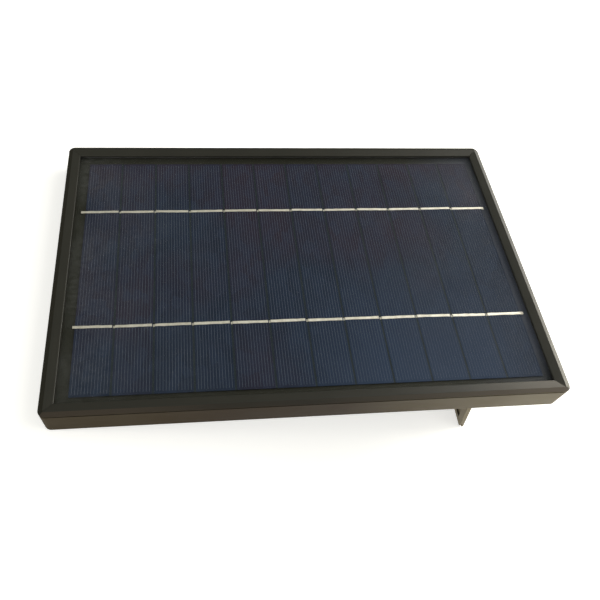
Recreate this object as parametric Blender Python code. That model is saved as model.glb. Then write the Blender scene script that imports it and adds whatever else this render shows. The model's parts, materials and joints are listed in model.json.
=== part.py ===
"""Small framed solar panel with a fold-out support leg, standing as it is used.

Run with: blender --background --python part.py

Lengths are in metres. The panel is modelled flat in its own frame: x along the long side, y along
the short side, z up from the rear face of the frame. An empty then tips it up, so that its left edge
and the foot of the leg stand on the floor at z = 0. "Near" is the -y side and "far" the +y side.
"""

import math

import bmesh
import bpy
from mathutils import Vector

MM = 0.001

# Overall sizes of the framed panel, and how steeply it stands.
PANEL_LENGTH = 270.4 * MM
PANEL_WIDTH = 178.5 * MM
FRAME_HEIGHT = 17.8 * MM
TILT = math.radians(15.0)

# Clearances: between seated pieces, and between the layers of the laminate.
GAP = 0.3 * MM
FILM = 0.15 * MM

# Frame extrusion. "Reach" and "width" are measured inwards from the outermost face.
WALL = 1.3 * MM
SHOULDER_REACH = 2.4 * MM
SHOULDER_DROP = 0.6 * MM
SEAM_LAND = 0.4 * MM
SEAM_HEIGHT = 0.9 * MM
SEAM_DEPTH = 0.35 * MM
LIP_REACH = 7.0 * MM
LIP_FALL = 1.0 * MM
LIP_THICKNESS = 1.0 * MM
BOX_WIDTH = 9.0 * MM
CORNER_RADIUS = 3.6 * MM
KEY_ARM = 26.0 * MM

# Laminate: clear sheet, tabbed cells and black board, held in the frame by an edge seal.
SHEET_THICKNESS = 0.8 * MM
BOARD_THICKNESS = 1.6 * MM
SEAL_WIDTH = 1.0 * MM
SEAL_RIB = 2.8 * MM
CELL_COUNT = 12
CELL_THICKNESS = 0.3 * MM
CELL_GAP = 1.05 * MM
BORDER_X = 4.9 * MM
BORDER_Y = 4.25 * MM
ARRAY_SHIFT = Vector((1.15 * MM, -0.65 * MM, 0.0))
RIBBON_WIDTH = 1.6 * MM
RIBBON_THICKNESS = 0.2 * MM
RIBBON_ROWS = (-0.25, 0.25)
RIBBON_TAIL = 3.2 * MM
RIBBON_SETBACK = 0.6 * MM
SOLDER_SINK = 0.05 * MM
END_TAB_REACH = 2.0 * MM

# Support leg: folded sheet that swings on two screws in the long rails.
LEG_OPEN = math.radians(12.0)
PIVOT_FROM_RIGHT = 45.5 * MM
PIVOT_MARGIN = 0.8 * MM
LEG_SHEET = 1.2 * MM
HEM_WIDTH = 5.0 * MM
HEM_RELIEF = 1.6 * MM
EAR_LENGTH = 18.0 * MM
EAR_TAPER = 9.0 * MM

# Pivot hardware on each side of the leg.
SCREW_RADIUS = 1.95 * MM
SCREW_HEAD = 2.4 * MM
HEAD_RIM = 1.725 * MM
SCREW_RECESS = 1.2 * MM
BUSH_WALL = 0.6 * MM
BUSH_FLANGE = 2.7 * MM
WASHER_THICKNESS = 0.8 * MM
NUT_THICKNESS = 3.2 * MM
NUT_MARGIN = 1.0 * MM
NUT_RIM = 0.4 * MM
STOP_RADIUS = 1.6 * MM
STOP_SHANK_RADIUS = 1.2 * MM
STOP_ALONG_LEG = 4.0 * MM

# Junction box on the back of the board.
BOX_CENTRE_X = -58.0 * MM
BOX_LENGTH = 46.0 * MM
BOX_DEPTH_Y = 34.0 * MM
BOX_WALL = 1.6 * MM
BOX_BASE = 1.5 * MM
BOX_BOSS = 5.0 * MM
LID_RECESS = 1.05 * MM
LID_THICKNESS = 1.8 * MM
LID_COUNTERBORE = 1.1 * MM
GASKET_THICKNESS = 0.6 * MM
GASKET_WIDTH = 1.0 * MM
LID_SCREW_RADIUS = 0.8 * MM
LID_HEAD_RADIUS = 1.6 * MM
LID_HEAD = 0.8 * MM
GLAND_SHOULDER = 0.6 * MM
GLAND_WALL = 0.6 * MM
GLAND_NOSE = 6.0 * MM
GLAND_NUT = 2.0 * MM
DIODE_RADIUS = 1.3 * MM
DIODE_LENGTH = 5.2 * MM
DIODE_LEAD_RADIUS = 0.4 * MM
DIODE_LEAD = 4.5 * MM
TERMINAL_LENGTH = 8.0 * MM
TERMINAL_WIDTH = 6.0 * MM
TERMINAL_HEIGHT = 2.6 * MM
TERMINAL_SLOT = 1.4 * MM
LEAD_WIDTH = 3.0 * MM
LEAD_THICKNESS = 0.6 * MM

ROUND_SEGMENTS = 24
CORNER_SEGMENTS = 6
SHARP_ANGLE = math.radians(35.0)
OVERCUT = 1.0 * MM

# Heights above the frame's rear face, worked out from the lip down through the laminate.
LIP_EDGE = FRAME_HEIGHT - LIP_FALL
LIP_UNDERSIDE = LIP_EDGE - LIP_THICKNESS
SHEET_TOP = LIP_UNDERSIDE - GAP
SHEET_BOTTOM = SHEET_TOP - SHEET_THICKNESS
RIBBON_TOP = SHEET_BOTTOM - FILM
CELL_TOP = RIBBON_TOP - RIBBON_THICKNESS
CELL_BOTTOM = CELL_TOP - CELL_THICKNESS
TAIL_TOP = CELL_BOTTOM - FILM
TAIL_BOTTOM = TAIL_TOP - RIBBON_THICKNESS
BOARD_TOP = TAIL_BOTTOM - FILM
BOARD_BOTTOM = BOARD_TOP - BOARD_THICKNESS
SHELF = BOARD_BOTTOM - GAP
SHOULDER_EDGE = FRAME_HEIGHT - SHOULDER_DROP
SEAM_TOP = SHOULDER_EDGE - SEAM_LAND

# Distances inwards from the frame's outermost face.
CHANNEL_REACH = SEAM_DEPTH + WALL
SEAL_REACH = CHANNEL_REACH + GAP
LAMINATE_REACH = SEAL_REACH + SEAL_WIDTH + GAP
CHAMBER_REACH = BOX_WIDTH - WALL
MITRE_SHIFT = GAP / 2 * math.sqrt(2)

# Cell array, centred in the frame's opening apart from its small lay-up shift.
ARRAY_LENGTH = PANEL_LENGTH - 2 * (LIP_REACH + BORDER_X)
CELL_LENGTH = PANEL_WIDTH - 2 * (LIP_REACH + BORDER_Y)
CELL_PITCH = (ARRAY_LENGTH + CELL_GAP) / CELL_COUNT
CELL_WIDTH = CELL_PITCH - CELL_GAP

# Leg pivot, and where the standing panel's own frame lies.
PIVOT_X = PANEL_LENGTH / 2 - PIVOT_FROM_RIGHT
PIVOT_Z = BOARD_BOTTOM / 2
EAR_RADIUS = BOARD_BOTTOM / 2 - PIVOT_MARGIN
LEG_OUTER = EAR_RADIUS
LEG_INNER = LEG_OUTER - LEG_SHEET
HEM_INNER = LEG_INNER - LEG_SHEET
RAIL_INNER_Y = PANEL_WIDTH / 2 - BOX_WIDTH
EAR_OUTER_Y = RAIL_INNER_Y - GAP - BUSH_FLANGE - GAP
BUSH_BORE = SCREW_RADIUS + GAP
BUSH_RADIUS = BUSH_BORE + BUSH_WALL
EAR_HOLE = BUSH_RADIUS + GAP
HEAD_RADIUS = SCREW_RADIUS + HEAD_RIM
STAND_X = SHOULDER_EDGE * math.sin(TILT) / 2
STAND_Z = PANEL_LENGTH / 2 * math.sin(TILT)


def leg_length():
    """Length from the pivot to the foot, so that the foot's lower corner meets the floor."""
    lean = TILT + LEG_OPEN
    pivot_height = STAND_Z + PIVOT_X * math.sin(TILT) + PIVOT_Z * math.cos(TILT)
    return (pivot_height + HEM_INNER * math.sin(lean)) / math.cos(lean)


def plate_top():
    """Height of the leg plate's upper edge above the pivot axis, where it still clears the screw heads."""
    clear_radius = HEAD_RADIUS + GAP
    return -math.sqrt(max(clear_radius**2 - LEG_INNER**2, 0.0))


def clear_scene():
    for obj in list(bpy.data.objects):
        bpy.data.objects.remove(obj, do_unlink=True)


def make_material(name, colour, roughness, metallic=0.0, alpha=1.0):
    """A Principled material with one colour."""
    material = bpy.data.materials.new(name)
    material.use_nodes = True
    shader = material.node_tree.nodes["Principled BSDF"]
    shader.inputs["Base Color"].default_value = (*colour, 1.0)
    shader.inputs["Roughness"].default_value = roughness
    shader.inputs["Metallic"].default_value = metallic
    shader.inputs["Alpha"].default_value = alpha
    material.diffuse_color = (*colour, alpha)
    return material


def make_empty(name, location, rotation, parent=None):
    empty = bpy.data.objects.new(name, None)
    bpy.context.scene.collection.objects.link(empty)
    empty.location = location
    empty.rotation_euler = rotation
    empty.parent = parent
    return empty


def make_object(name, shape, material, parent, location=(0, 0, 0), rotation=(0, 0, 0), smooth=False):
    """Turn a bmesh, or a mesh that is shared, into a named object."""
    if isinstance(shape, bmesh.types.BMesh):
        bmesh.ops.recalc_face_normals(shape, faces=shape.faces)
        mesh = bpy.data.meshes.new(name)
        shape.to_mesh(mesh)
        shape.free()
        mesh.materials.append(material)
    else:
        mesh = shape
    if smooth:
        mesh.shade_smooth()
        mesh.set_sharp_from_angle(angle=SHARP_ANGLE)
    obj = bpy.data.objects.new(name, mesh)
    bpy.context.scene.collection.objects.link(obj)
    obj.parent = parent
    obj.location = location
    obj.rotation_euler = rotation
    return obj


def make_cutter(name, shape, parent, location=(0, 0, 0), rotation=(0, 0, 0)):
    """A helper shape that cuts or trims others, and is not a piece of the panel."""
    cutter = make_object(name, shape, None, parent, location, rotation)
    cutter.hide_render = True
    cutter.display_type = "WIRE"
    return cutter


def cut(obj, tool, operation="DIFFERENCE"):
    modifier = obj.modifiers.new(tool.name, "BOOLEAN")
    modifier.operation = operation
    modifier.solver = "EXACT"
    modifier.object = tool


def united_mesh(name, shapes):
    """One mesh of overlapping shapes, joined in their own frame; shapes holds (bmesh, material) pairs."""
    body, *tools = [make_object(name, shape, material, None) for shape, material in shapes]
    group = bpy.data.collections.new(name)
    for tool in tools:
        group.objects.link(tool)
    modifier = body.modifiers.new(name, "BOOLEAN")
    modifier.operation = "UNION"
    modifier.solver = "EXACT"
    modifier.operand_type = "COLLECTION"
    modifier.collection = group
    modifier.material_mode = "TRANSFER"
    bpy.context.view_layer.update()
    graph = bpy.context.evaluated_depsgraph_get()
    mesh = bpy.data.meshes.new_from_object(body.evaluated_get(graph), depsgraph=graph)
    for helper in (body, *tools):
        bpy.data.objects.remove(helper, do_unlink=True)
    bpy.data.collections.remove(group)
    return mesh


def box(low, high):
    """A block between two opposite corners, with its faces exactly at their coordinates."""
    shape = bmesh.new()
    bmesh.ops.create_cube(shape, size=1.0)
    for vertex in shape.verts:
        vertex.co = [high[axis] if vertex.co[axis] > 0 else low[axis] for axis in range(3)]
    return shape


def rounded_rectangle(length, width, radius):
    """Corner points of a rectangle about the origin with rounded corners."""
    points = []
    for turn, (side_x, side_y) in enumerate(((1, 1), (-1, 1), (-1, -1), (1, -1))):
        for step in range(CORNER_SEGMENTS + 1):
            angle = (turn + step / CORNER_SEGMENTS) * math.pi / 2
            x = side_x * (length / 2 - radius) + radius * math.cos(angle)
            y = side_y * (width / 2 - radius) + radius * math.sin(angle)
            points.append((x, y))
    return points


def prism(loops, ends):
    """A closed solid between two ends of one or more loops; every loop after the first is a hole.

    loops holds lists of profile points, and ends holds two functions that place a profile point.
    """
    shape = bmesh.new()
    cap_edges = ([], [])
    for loop in loops:
        rings = [[shape.verts.new(place(point)) for point in loop] for place in ends]
        for index in range(len(loop)):
            following = (index + 1) % len(loop)
            start, end = rings
            shape.faces.new((start[index], start[following], end[following], end[index]))
            for ring, edges in zip(rings, cap_edges):
                edges.append(shape.edges.get((ring[index], ring[following])))
    for edges in cap_edges:
        bmesh.ops.triangle_fill(shape, edges=edges, use_beauty=True)
    return shape


def slab(loops, low, high):
    """Loops in the xy plane, extruded between two heights."""
    ends = (lambda p: (p[0], p[1], low), lambda p: (p[0], p[1], high))
    return prism(loops, ends)


def side_plate(loops, low, high):
    """Loops in the xz plane, extruded between two y positions."""
    ends = (lambda p: (p[0], low, p[1]), lambda p: (p[0], high, p[1]))
    return prism(loops, ends)


def rectangle(low_x, low_y, high_x, high_y):
    return [(low_x, low_y), (high_x, low_y), (high_x, high_y), (low_x, high_y)]


def arc(radius, turn=2 * math.pi):
    """Points about the origin from the +x axis on; a whole turn leaves out the repeated last point."""
    count = round(ROUND_SEGMENTS * turn / (2 * math.pi))
    steps = count if turn == 2 * math.pi else count + 1
    angles = [turn * step / count for step in range(steps)]
    return [(radius * math.cos(angle), radius * math.sin(angle)) for angle in angles]


def turned(profile, ring=False):
    """Turn (radius, height) points about the z axis; a ring's profile is a closed loop off the axis."""
    shape = bmesh.new()
    hoops = []
    for radius, height in profile:
        if radius == 0:
            hoops.append([shape.verts.new((0, 0, height))] * ROUND_SEGMENTS)
            continue
        hoops.append([shape.verts.new((x, y, height)) for x, y in arc(radius)])
    pairs = list(zip(hoops, hoops[1:]))
    if ring:
        pairs.append((hoops[-1], hoops[0]))
    for lower, upper in pairs:
        for step in range(ROUND_SEGMENTS):
            following = (step + 1) % ROUND_SEGMENTS
            corners = (lower[step], lower[following], upper[following], upper[step])
            shape.faces.new(dict.fromkeys(corners))
    return shape


def cylinder(radius, low, high):
    return turned([(0, low), (radius, low), (radius, high), (0, high)])


def tube(inner, outer, low, high):
    return turned([(inner, low), (outer, low), (outer, high), (inner, high)], ring=True)


def build_frame(stand, black, steel):
    """Four mitred rails and the keys that join them; returns the two long rails for drilling."""
    outer = [
        (0, 0),
        (BOX_WIDTH, 0),
        (BOX_WIDTH, SHELF),
        (CHANNEL_REACH, SHELF),
        (CHANNEL_REACH, LIP_UNDERSIDE),
        (LIP_REACH, LIP_UNDERSIDE),
        (LIP_REACH, LIP_EDGE),
        (SHOULDER_REACH, FRAME_HEIGHT),
        (0, SHOULDER_EDGE),
        (0, SEAM_TOP),
        (SEAM_DEPTH, SEAM_TOP),
        (SEAM_DEPTH, SEAM_TOP - SEAM_HEIGHT),
        (0, SEAM_TOP - SEAM_HEIGHT),
    ]
    chamber = rectangle(CHANNEL_REACH, WALL, CHAMBER_REACH, SHELF - WALL)

    outline_points = rounded_rectangle(PANEL_LENGTH, PANEL_WIDTH, CORNER_RADIUS)
    outline = slab([outline_points], -OVERCUT, FRAME_HEIGHT + OVERCUT)
    outline_tool = make_cutter("frame_outline", outline, stand)

    places = {
        "frame_rail_near": (PANEL_LENGTH, (0, -PANEL_WIDTH / 2, 0), 0),
        "frame_rail_right": (PANEL_WIDTH, (PANEL_LENGTH / 2, 0, 0), 1),
        "frame_rail_far": (PANEL_LENGTH, (0, PANEL_WIDTH / 2, 0), 2),
        "frame_rail_left": (PANEL_WIDTH, (-PANEL_LENGTH / 2, 0, 0), 3),
    }
    rails = {}
    for name, (run, location, quarter_turns) in places.items():

        def end_at(side, run=run):
            return lambda p: (side * (run / 2 - p[0] - MITRE_SHIFT), p[0], p[1])

        shape = prism([outer, chamber], (end_at(-1), end_at(1)))
        rotation = (0, 0, quarter_turns * math.pi / 2)
        rails[name] = make_object(name, shape, black, stand, location, rotation)
        cut(rails[name], outline_tool, "INTERSECT")

    key_near = CHANNEL_REACH + GAP
    key_far = CHAMBER_REACH - GAP
    key = [
        (key_near, key_near),
        (KEY_ARM, key_near),
        (KEY_ARM, key_far),
        (key_far, key_far),
        (key_far, KEY_ARM),
        (key_near, KEY_ARM),
    ]
    corners = ((-1, -1), (1, -1), (1, 1), (-1, 1))
    for number, (side_x, side_y) in enumerate(corners):
        shape = slab([key], WALL + GAP, SHELF - WALL - GAP)
        location = (side_x * PANEL_LENGTH / 2, side_y * PANEL_WIDTH / 2, 0)
        rotation = (0, 0, number * math.pi / 2)
        make_object(f"corner_key_{number + 1}", shape, steel, stand, location, rotation)
    return rails["frame_rail_near"], rails["frame_rail_far"]


def build_edge_seal(stand, rubber):
    """One ring of T section between the laminate's edge and the frame."""
    rib_start = SEAL_REACH + SEAL_WIDTH
    profile = [
        (SEAL_REACH, SHELF + GAP),
        (rib_start, SHELF + GAP),
        (rib_start, BOARD_TOP + FILM),
        (rib_start + SEAL_RIB, BOARD_TOP + FILM),
        (rib_start + SEAL_RIB, SHEET_BOTTOM - FILM),
        (rib_start, SHEET_BOTTOM - FILM),
        (rib_start, LIP_UNDERSIDE - GAP),
        (SEAL_REACH, LIP_UNDERSIDE - GAP),
    ]
    shape = bmesh.new()
    hoops = []
    for side_x, side_y in ((-1, -1), (1, -1), (1, 1), (-1, 1)):
        hoop = []
        for reach, height in profile:
            x = side_x * (PANEL_LENGTH / 2 - reach)
            y = side_y * (PANEL_WIDTH / 2 - reach)
            hoop.append(shape.verts.new((x, y, height)))
        hoops.append(hoop)
    for corner, hoop in enumerate(hoops):
        following_hoop = hoops[(corner + 1) % len(hoops)]
        for index in range(len(profile)):
            following = (index + 1) % len(profile)
            shape.faces.new(
                (hoop[index], hoop[following], following_hoop[following], following_hoop[index])
            )
    make_object("edge_seal", shape, rubber, stand)


def tabbed_cell_mesh(silicon, solder):
    """One wafer with its two front ribbons, whose tails dip under the neighbour on the left."""
    half_width = CELL_WIDTH / 2
    dip_outer = -half_width - CELL_GAP / 2
    dip_inner = dip_outer + RIBBON_THICKNESS
    ribbon = [
        (half_width - RIBBON_SETBACK, CELL_TOP - SOLDER_SINK),
        (half_width - RIBBON_SETBACK, RIBBON_TOP),
        (dip_outer, RIBBON_TOP),
        (dip_outer, TAIL_TOP),
        (dip_outer - RIBBON_TAIL, TAIL_TOP),
        (dip_outer - RIBBON_TAIL, TAIL_BOTTOM),
        (dip_inner, TAIL_BOTTOM),
        (dip_inner, CELL_TOP - SOLDER_SINK),
    ]
    low = (-half_width, -CELL_LENGTH / 2, CELL_BOTTOM)
    high = (half_width, CELL_LENGTH / 2, CELL_TOP)
    shapes = [(box(low, high), silicon)]
    for row in RIBBON_ROWS:
        middle = row * CELL_LENGTH
        strip = side_plate([ribbon], middle - RIBBON_WIDTH / 2, middle + RIBBON_WIDTH / 2)
        shapes.append((strip, solder))
    return united_mesh("tabbed_cell", shapes)


def build_laminate(stand, clear, silicon, solder, board_black):
    """Clear sheet, tabbed cells in series, the end tabs of the last cell, and the board it returns."""
    half_x = PANEL_LENGTH / 2 - LAMINATE_REACH
    half_y = PANEL_WIDTH / 2 - LAMINATE_REACH
    sheet = box((-half_x, -half_y, SHEET_BOTTOM), (half_x, half_y, SHEET_TOP))
    make_object("front_sheet", sheet, clear, stand)
    shape = box((-half_x, -half_y, BOARD_BOTTOM), (half_x, half_y, BOARD_TOP))
    board = make_object("backboard", shape, board_black, stand)

    cell = tabbed_cell_mesh(silicon, solder)
    for number in range(CELL_COUNT):
        along = (number - (CELL_COUNT - 1) / 2) * CELL_PITCH
        location = ARRAY_SHIFT + Vector((along, 0, 0))
        make_object(f"cell_{number + 1:02d}", cell, None, stand, location)

    last_edge = ARRAY_SHIFT.x + ARRAY_LENGTH / 2
    for side, row in zip(("near", "far"), RIBBON_ROWS):
        middle = ARRAY_SHIFT.y + row * CELL_LENGTH
        low = (last_edge - RIBBON_TAIL, middle - RIBBON_WIDTH / 2, TAIL_BOTTOM)
        high = (last_edge + END_TAB_REACH, middle + RIBBON_WIDTH / 2, TAIL_TOP)
        make_object(f"end_tab_{side}", box(low, high), solder, stand)
    return board


def leg_frame_point(along, outwards):
    """Panel-frame x and z of a point given along the open leg and outwards from it."""
    x = PIVOT_X + along * math.sin(LEG_OPEN) + outwards * math.cos(LEG_OPEN)
    z = PIVOT_Z - along * math.cos(LEG_OPEN) + outwards * math.sin(LEG_OPEN)
    return x, z


def build_leg(stand, black):
    """Hemmed plate with two pivot ears, in a frame whose origin is the pivot axis."""
    length = leg_length()
    half = EAR_OUTER_Y
    inside = half - LEG_SHEET / 2
    shapes = [box((LEG_INNER, -inside, -length + LEG_SHEET / 2), (LEG_OUTER, inside, plate_top()))]

    ear = arc(EAR_RADIUS, math.pi) + [
        (-EAR_RADIUS, -(EAR_LENGTH - EAR_TAPER)),
        (HEM_INNER, -EAR_LENGTH),
        (LEG_OUTER, -EAR_LENGTH),
    ]
    for side in (-1, 1):
        edges = sorted((side * half, side * (half - LEG_SHEET)))
        shapes.append(side_plate([ear, arc(EAR_HOLE)], *edges))
        edges = sorted((side * half, side * (half - HEM_WIDTH)))
        low = (HEM_INNER, edges[0], -length + HEM_WIDTH + HEM_RELIEF)
        high = (LEG_OUTER, edges[1], -EAR_LENGTH + LEG_SHEET)
        shapes.append(box(low, high))
        low = (LEG_INNER, edges[0], -length)
        high = (LEG_OUTER, edges[1], -length + HEM_WIDTH + HEM_RELIEF + LEG_SHEET)
        shapes.append(box(low, high))

    foot_half = half - HEM_RELIEF
    low = (HEM_INNER, -foot_half, -length)
    high = (LEG_OUTER, foot_half, -length + HEM_WIDTH)
    shapes.append(box(low, high))

    mesh = united_mesh("support_leg", [(shape, black) for shape in shapes])
    pivot = make_empty("leg_pivot", (PIVOT_X, 0, PIVOT_Z), (0, -LEG_OPEN, 0), stand)
    make_object("support_leg", mesh, black, pivot)


def build_pivots(stand, rails, steel, nylon):
    """Screw, captive nut, washer, bush and stop pin on each side of the leg."""
    nut_half = max((SHELF - 2 * WALL) / 2 - NUT_MARGIN, BUSH_BORE + NUT_RIM)
    nut_start = -WALL - GAP
    ear_inner = GAP + BUSH_FLANGE + GAP + LEG_SHEET
    spigot_end = ear_inner + GAP
    washer_start = spigot_end + GAP
    head_start = washer_start + WASHER_THICKNESS + GAP
    head_end = head_start + SCREW_HEAD
    socket = HEAD_RADIUS / 2
    screw = [
        (0, nut_start - NUT_THICKNESS),
        (SCREW_RADIUS, nut_start - NUT_THICKNESS),
        (SCREW_RADIUS, head_start),
        (HEAD_RADIUS, head_start),
        (HEAD_RADIUS, head_end),
        (socket, head_end),
        (socket, head_end - SCREW_RECESS),
        (0, head_end - SCREW_RECESS),
    ]
    bush = [
        (BUSH_BORE, GAP),
        (EAR_RADIUS - GAP, GAP),
        (EAR_RADIUS - GAP, GAP + BUSH_FLANGE),
        (BUSH_RADIUS, GAP + BUSH_FLANGE),
        (BUSH_RADIUS, spigot_end),
        (BUSH_BORE, spigot_end),
    ]
    stop_pin = [
        (0, -WALL),
        (STOP_SHANK_RADIUS, -WALL),
        (STOP_SHANK_RADIUS, GAP),
        (STOP_RADIUS, GAP),
        (STOP_RADIUS, ear_inner),
        (0, ear_inner),
    ]
    nut_outline = rectangle(-nut_half, -nut_half, nut_half, nut_half)

    stop_x, stop_z = leg_frame_point(STOP_ALONG_LEG, LEG_OUTER + GAP + STOP_RADIUS)
    for side, name, rail in ((-1, "near", rails[0]), (1, "far", rails[1])):
        # Each piece is turned about an axis that runs from the rail's inner face into the panel.
        turn = (side * math.pi / 2, 0, 0)
        at = (PIVOT_X, side * RAIL_INNER_Y, PIVOT_Z)
        make_object(f"pivot_screw_{name}", turned(screw), steel, stand, at, turn, smooth=True)
        make_object(f"pivot_bush_{name}", turned(bush, ring=True), nylon, stand, at, turn, smooth=True)
        washer = tube(BUSH_BORE, HEAD_RADIUS, washer_start, washer_start + WASHER_THICKNESS)
        make_object(f"pivot_washer_{name}", washer, steel, stand, at, turn, smooth=True)
        nut = slab([nut_outline, arc(BUSH_BORE)], nut_start - NUT_THICKNESS, nut_start)
        make_object(f"pivot_nut_{name}", nut, steel, stand, at, turn)
        drill = cylinder(BUSH_BORE, -WALL - OVERCUT, OVERCUT)
        cut(rail, make_cutter(f"pivot_drill_{name}", drill, stand, at, turn))

        stop_at = (stop_x, side * RAIL_INNER_Y, stop_z)
        make_object(f"stop_pin_{name}", turned(stop_pin), steel, stand, stop_at, turn, smooth=True)
        drill = cylinder(STOP_SHANK_RADIUS + GAP, -WALL - OVERCUT, OVERCUT)
        cut(rail, make_cutter(f"stop_drill_{name}", drill, stand, stop_at, turn))


def build_junction_box(stand, board, plastic, rubber, brass, steel, nylon, solder):
    """Box bonded under the board, with its lid, gasket, screws, gland, terminals, leads and diode."""
    lid_top = LID_RECESS + LID_THICKNESS
    gasket_low = lid_top + GAP
    rim = gasket_low + GASKET_THICKNESS + GAP
    base = BOARD_BOTTOM - GAP
    floor = base - BOX_BASE
    half_x = BOX_LENGTH / 2
    half_y = BOX_DEPTH_Y / 2
    in_x = half_x - BOX_WALL
    in_y = half_y - BOX_WALL
    boss_x = half_x - BOX_BOSS
    boss_y = half_y - BOX_BOSS
    at = (BOX_CENTRE_X, 0, 0)

    # The pocket is a cross, so that a solid boss is left in each corner for a lid screw.
    pocket = [
        (in_x, boss_y),
        (boss_x, boss_y),
        (boss_x, in_y),
        (-boss_x, in_y),
        (-boss_x, boss_y),
        (-in_x, boss_y),
        (-in_x, -boss_y),
        (-boss_x, -boss_y),
        (-boss_x, -in_y),
        (boss_x, -in_y),
        (boss_x, -boss_y),
        (in_x, -boss_y),
    ]
    body_outline = rounded_rectangle(BOX_LENGTH, BOX_DEPTH_Y, BOX_WALL)
    body = make_object("junction_box", slab([body_outline], rim, base), plastic, stand, at)
    cut(body, make_cutter("box_pocket", slab([pocket], rim - OVERCUT, floor), stand, at))
    lid = make_object("junction_box_lid", slab([body_outline], LID_RECESS, lid_top), plastic, stand, at)

    out_x = in_x + GASKET_WIDTH
    out_y = boss_y + GASKET_WIDTH
    gasket_loops = [rectangle(-out_x, -out_y, out_x, out_y), rectangle(-in_x, -boss_y, in_x, boss_y)]
    gasket = slab(gasket_loops, gasket_low, gasket_low + GASKET_THICKNESS)
    make_object("lid_gasket", gasket, rubber, stand, at)

    head_top = LID_RECESS + LID_COUNTERBORE - GAP
    screw = [
        (0, head_top - LID_HEAD),
        (LID_HEAD_RADIUS, head_top - LID_HEAD),
        (LID_HEAD_RADIUS, head_top),
        (LID_SCREW_RADIUS, head_top),
        (LID_SCREW_RADIUS, floor - GAP),
        (0, floor - GAP),
    ]
    screw_hole = [
        (0, LID_RECESS - OVERCUT),
        (LID_HEAD_RADIUS + GAP, LID_RECESS - OVERCUT),
        (LID_HEAD_RADIUS + GAP, LID_RECESS + LID_COUNTERBORE),
        (LID_SCREW_RADIUS + GAP, LID_RECESS + LID_COUNTERBORE),
        (LID_SCREW_RADIUS + GAP, floor),
        (0, floor),
    ]
    screw_x = half_x - BOX_BOSS / 2
    screw_y = half_y - BOX_BOSS / 2
    for number, (side_x, side_y) in enumerate(((-1, -1), (1, -1), (1, 1), (-1, 1))):
        place = (BOX_CENTRE_X + side_x * screw_x, side_y * screw_y, 0)
        make_object(f"lid_screw_{number + 1}", turned(screw), steel, stand, place, smooth=True)
        drill = make_cutter(f"lid_drill_{number + 1}", turned(screw_hole), stand, place)
        cut(body, drill)
        cut(lid, drill)

    # The gland goes through the left wall, with its nose outside and its nut inside.
    gland_z = (floor + rim) / 2
    gland_radius = (floor - rim) / 2 - GAP
    neck = gland_radius - GLAND_SHOULDER
    bore = neck - GLAND_WALL
    wall_out = -half_x
    turn = (0, -math.pi / 2, 0)
    place = (BOX_CENTRE_X + wall_out, 0, gland_z)
    nut_far = -BOX_WALL - GAP - GLAND_NUT
    gland = [
        (bore, nut_far),
        (neck, nut_far),
        (neck, GAP),
        (gland_radius, GAP),
        (gland_radius, GAP + GLAND_NOSE / 2),
        (neck, GAP + GLAND_NOSE),
        (bore, GAP + GLAND_NOSE),
    ]
    make_object("cable_gland", turned(gland, ring=True), nylon, stand, place, turn, smooth=True)
    nut = tube(neck + GAP, gland_radius, nut_far, -BOX_WALL - GAP)
    make_object("gland_nut", nut, nylon, stand, place, turn, smooth=True)
    drill = cylinder(neck + GAP, -BOX_WALL - OVERCUT, OVERCUT)
    cut(body, make_cutter("gland_drill", drill, stand, place, turn))

    # Terminals sit on the floor of the box, with the diode's leads in their slots. A flat lead comes
    # down to each terminal through the board and the floor.
    lead_span = DIODE_LENGTH / 2 + DIODE_LEAD
    seat = floor - GAP
    lead_z = seat - DIODE_RADIUS
    half_terminal = TERMINAL_WIDTH / 2
    for side, name in ((-1, "negative"), (1, "positive")):
        middle = BOX_CENTRE_X + side * lead_span
        low = (middle - half_terminal, -TERMINAL_LENGTH / 2, seat - TERMINAL_HEIGHT)
        high = (middle + half_terminal, TERMINAL_LENGTH / 2, seat)
        block = make_object(f"terminal_{name}", box(low, high), brass, stand)
        low = (middle - half_terminal - OVERCUT, -TERMINAL_SLOT / 2, seat - TERMINAL_HEIGHT - OVERCUT)
        high = (middle + half_terminal + OVERCUT, TERMINAL_SLOT / 2, lead_z + DIODE_LEAD_RADIUS + GAP)
        cut(block, make_cutter(f"terminal_slot_{name}", box(low, high), stand))

        half_lead = LEAD_WIDTH / 2
        outer_x = middle + side * half_terminal
        low_x, high_x = sorted((outer_x, outer_x - side * LEAD_THICKNESS))
        lead = box((low_x, -half_lead, floor), (high_x, half_lead, BOARD_TOP))
        make_object(f"lead_{name}", lead, solder, stand)
        low = (low_x - GAP, -half_lead - GAP, floor - OVERCUT)
        high = (high_x + GAP, half_lead + GAP, BOARD_TOP + OVERCUT)
        slot = make_cutter(f"lead_slot_{name}", box(low, high), stand)
        cut(body, slot)
        cut(board, slot)
    diode = [
        (0, -lead_span),
        (DIODE_LEAD_RADIUS, -lead_span),
        (DIODE_LEAD_RADIUS, -DIODE_LENGTH / 2),
        (DIODE_RADIUS, -DIODE_LENGTH / 2),
        (DIODE_RADIUS, DIODE_LENGTH / 2),
        (DIODE_LEAD_RADIUS, DIODE_LENGTH / 2),
        (DIODE_LEAD_RADIUS, lead_span),
        (0, lead_span),
    ]
    at = (BOX_CENTRE_X, 0, lead_z)
    make_object("blocking_diode", turned(diode), plastic, stand, at, (0, math.pi / 2, 0), smooth=True)


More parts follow.
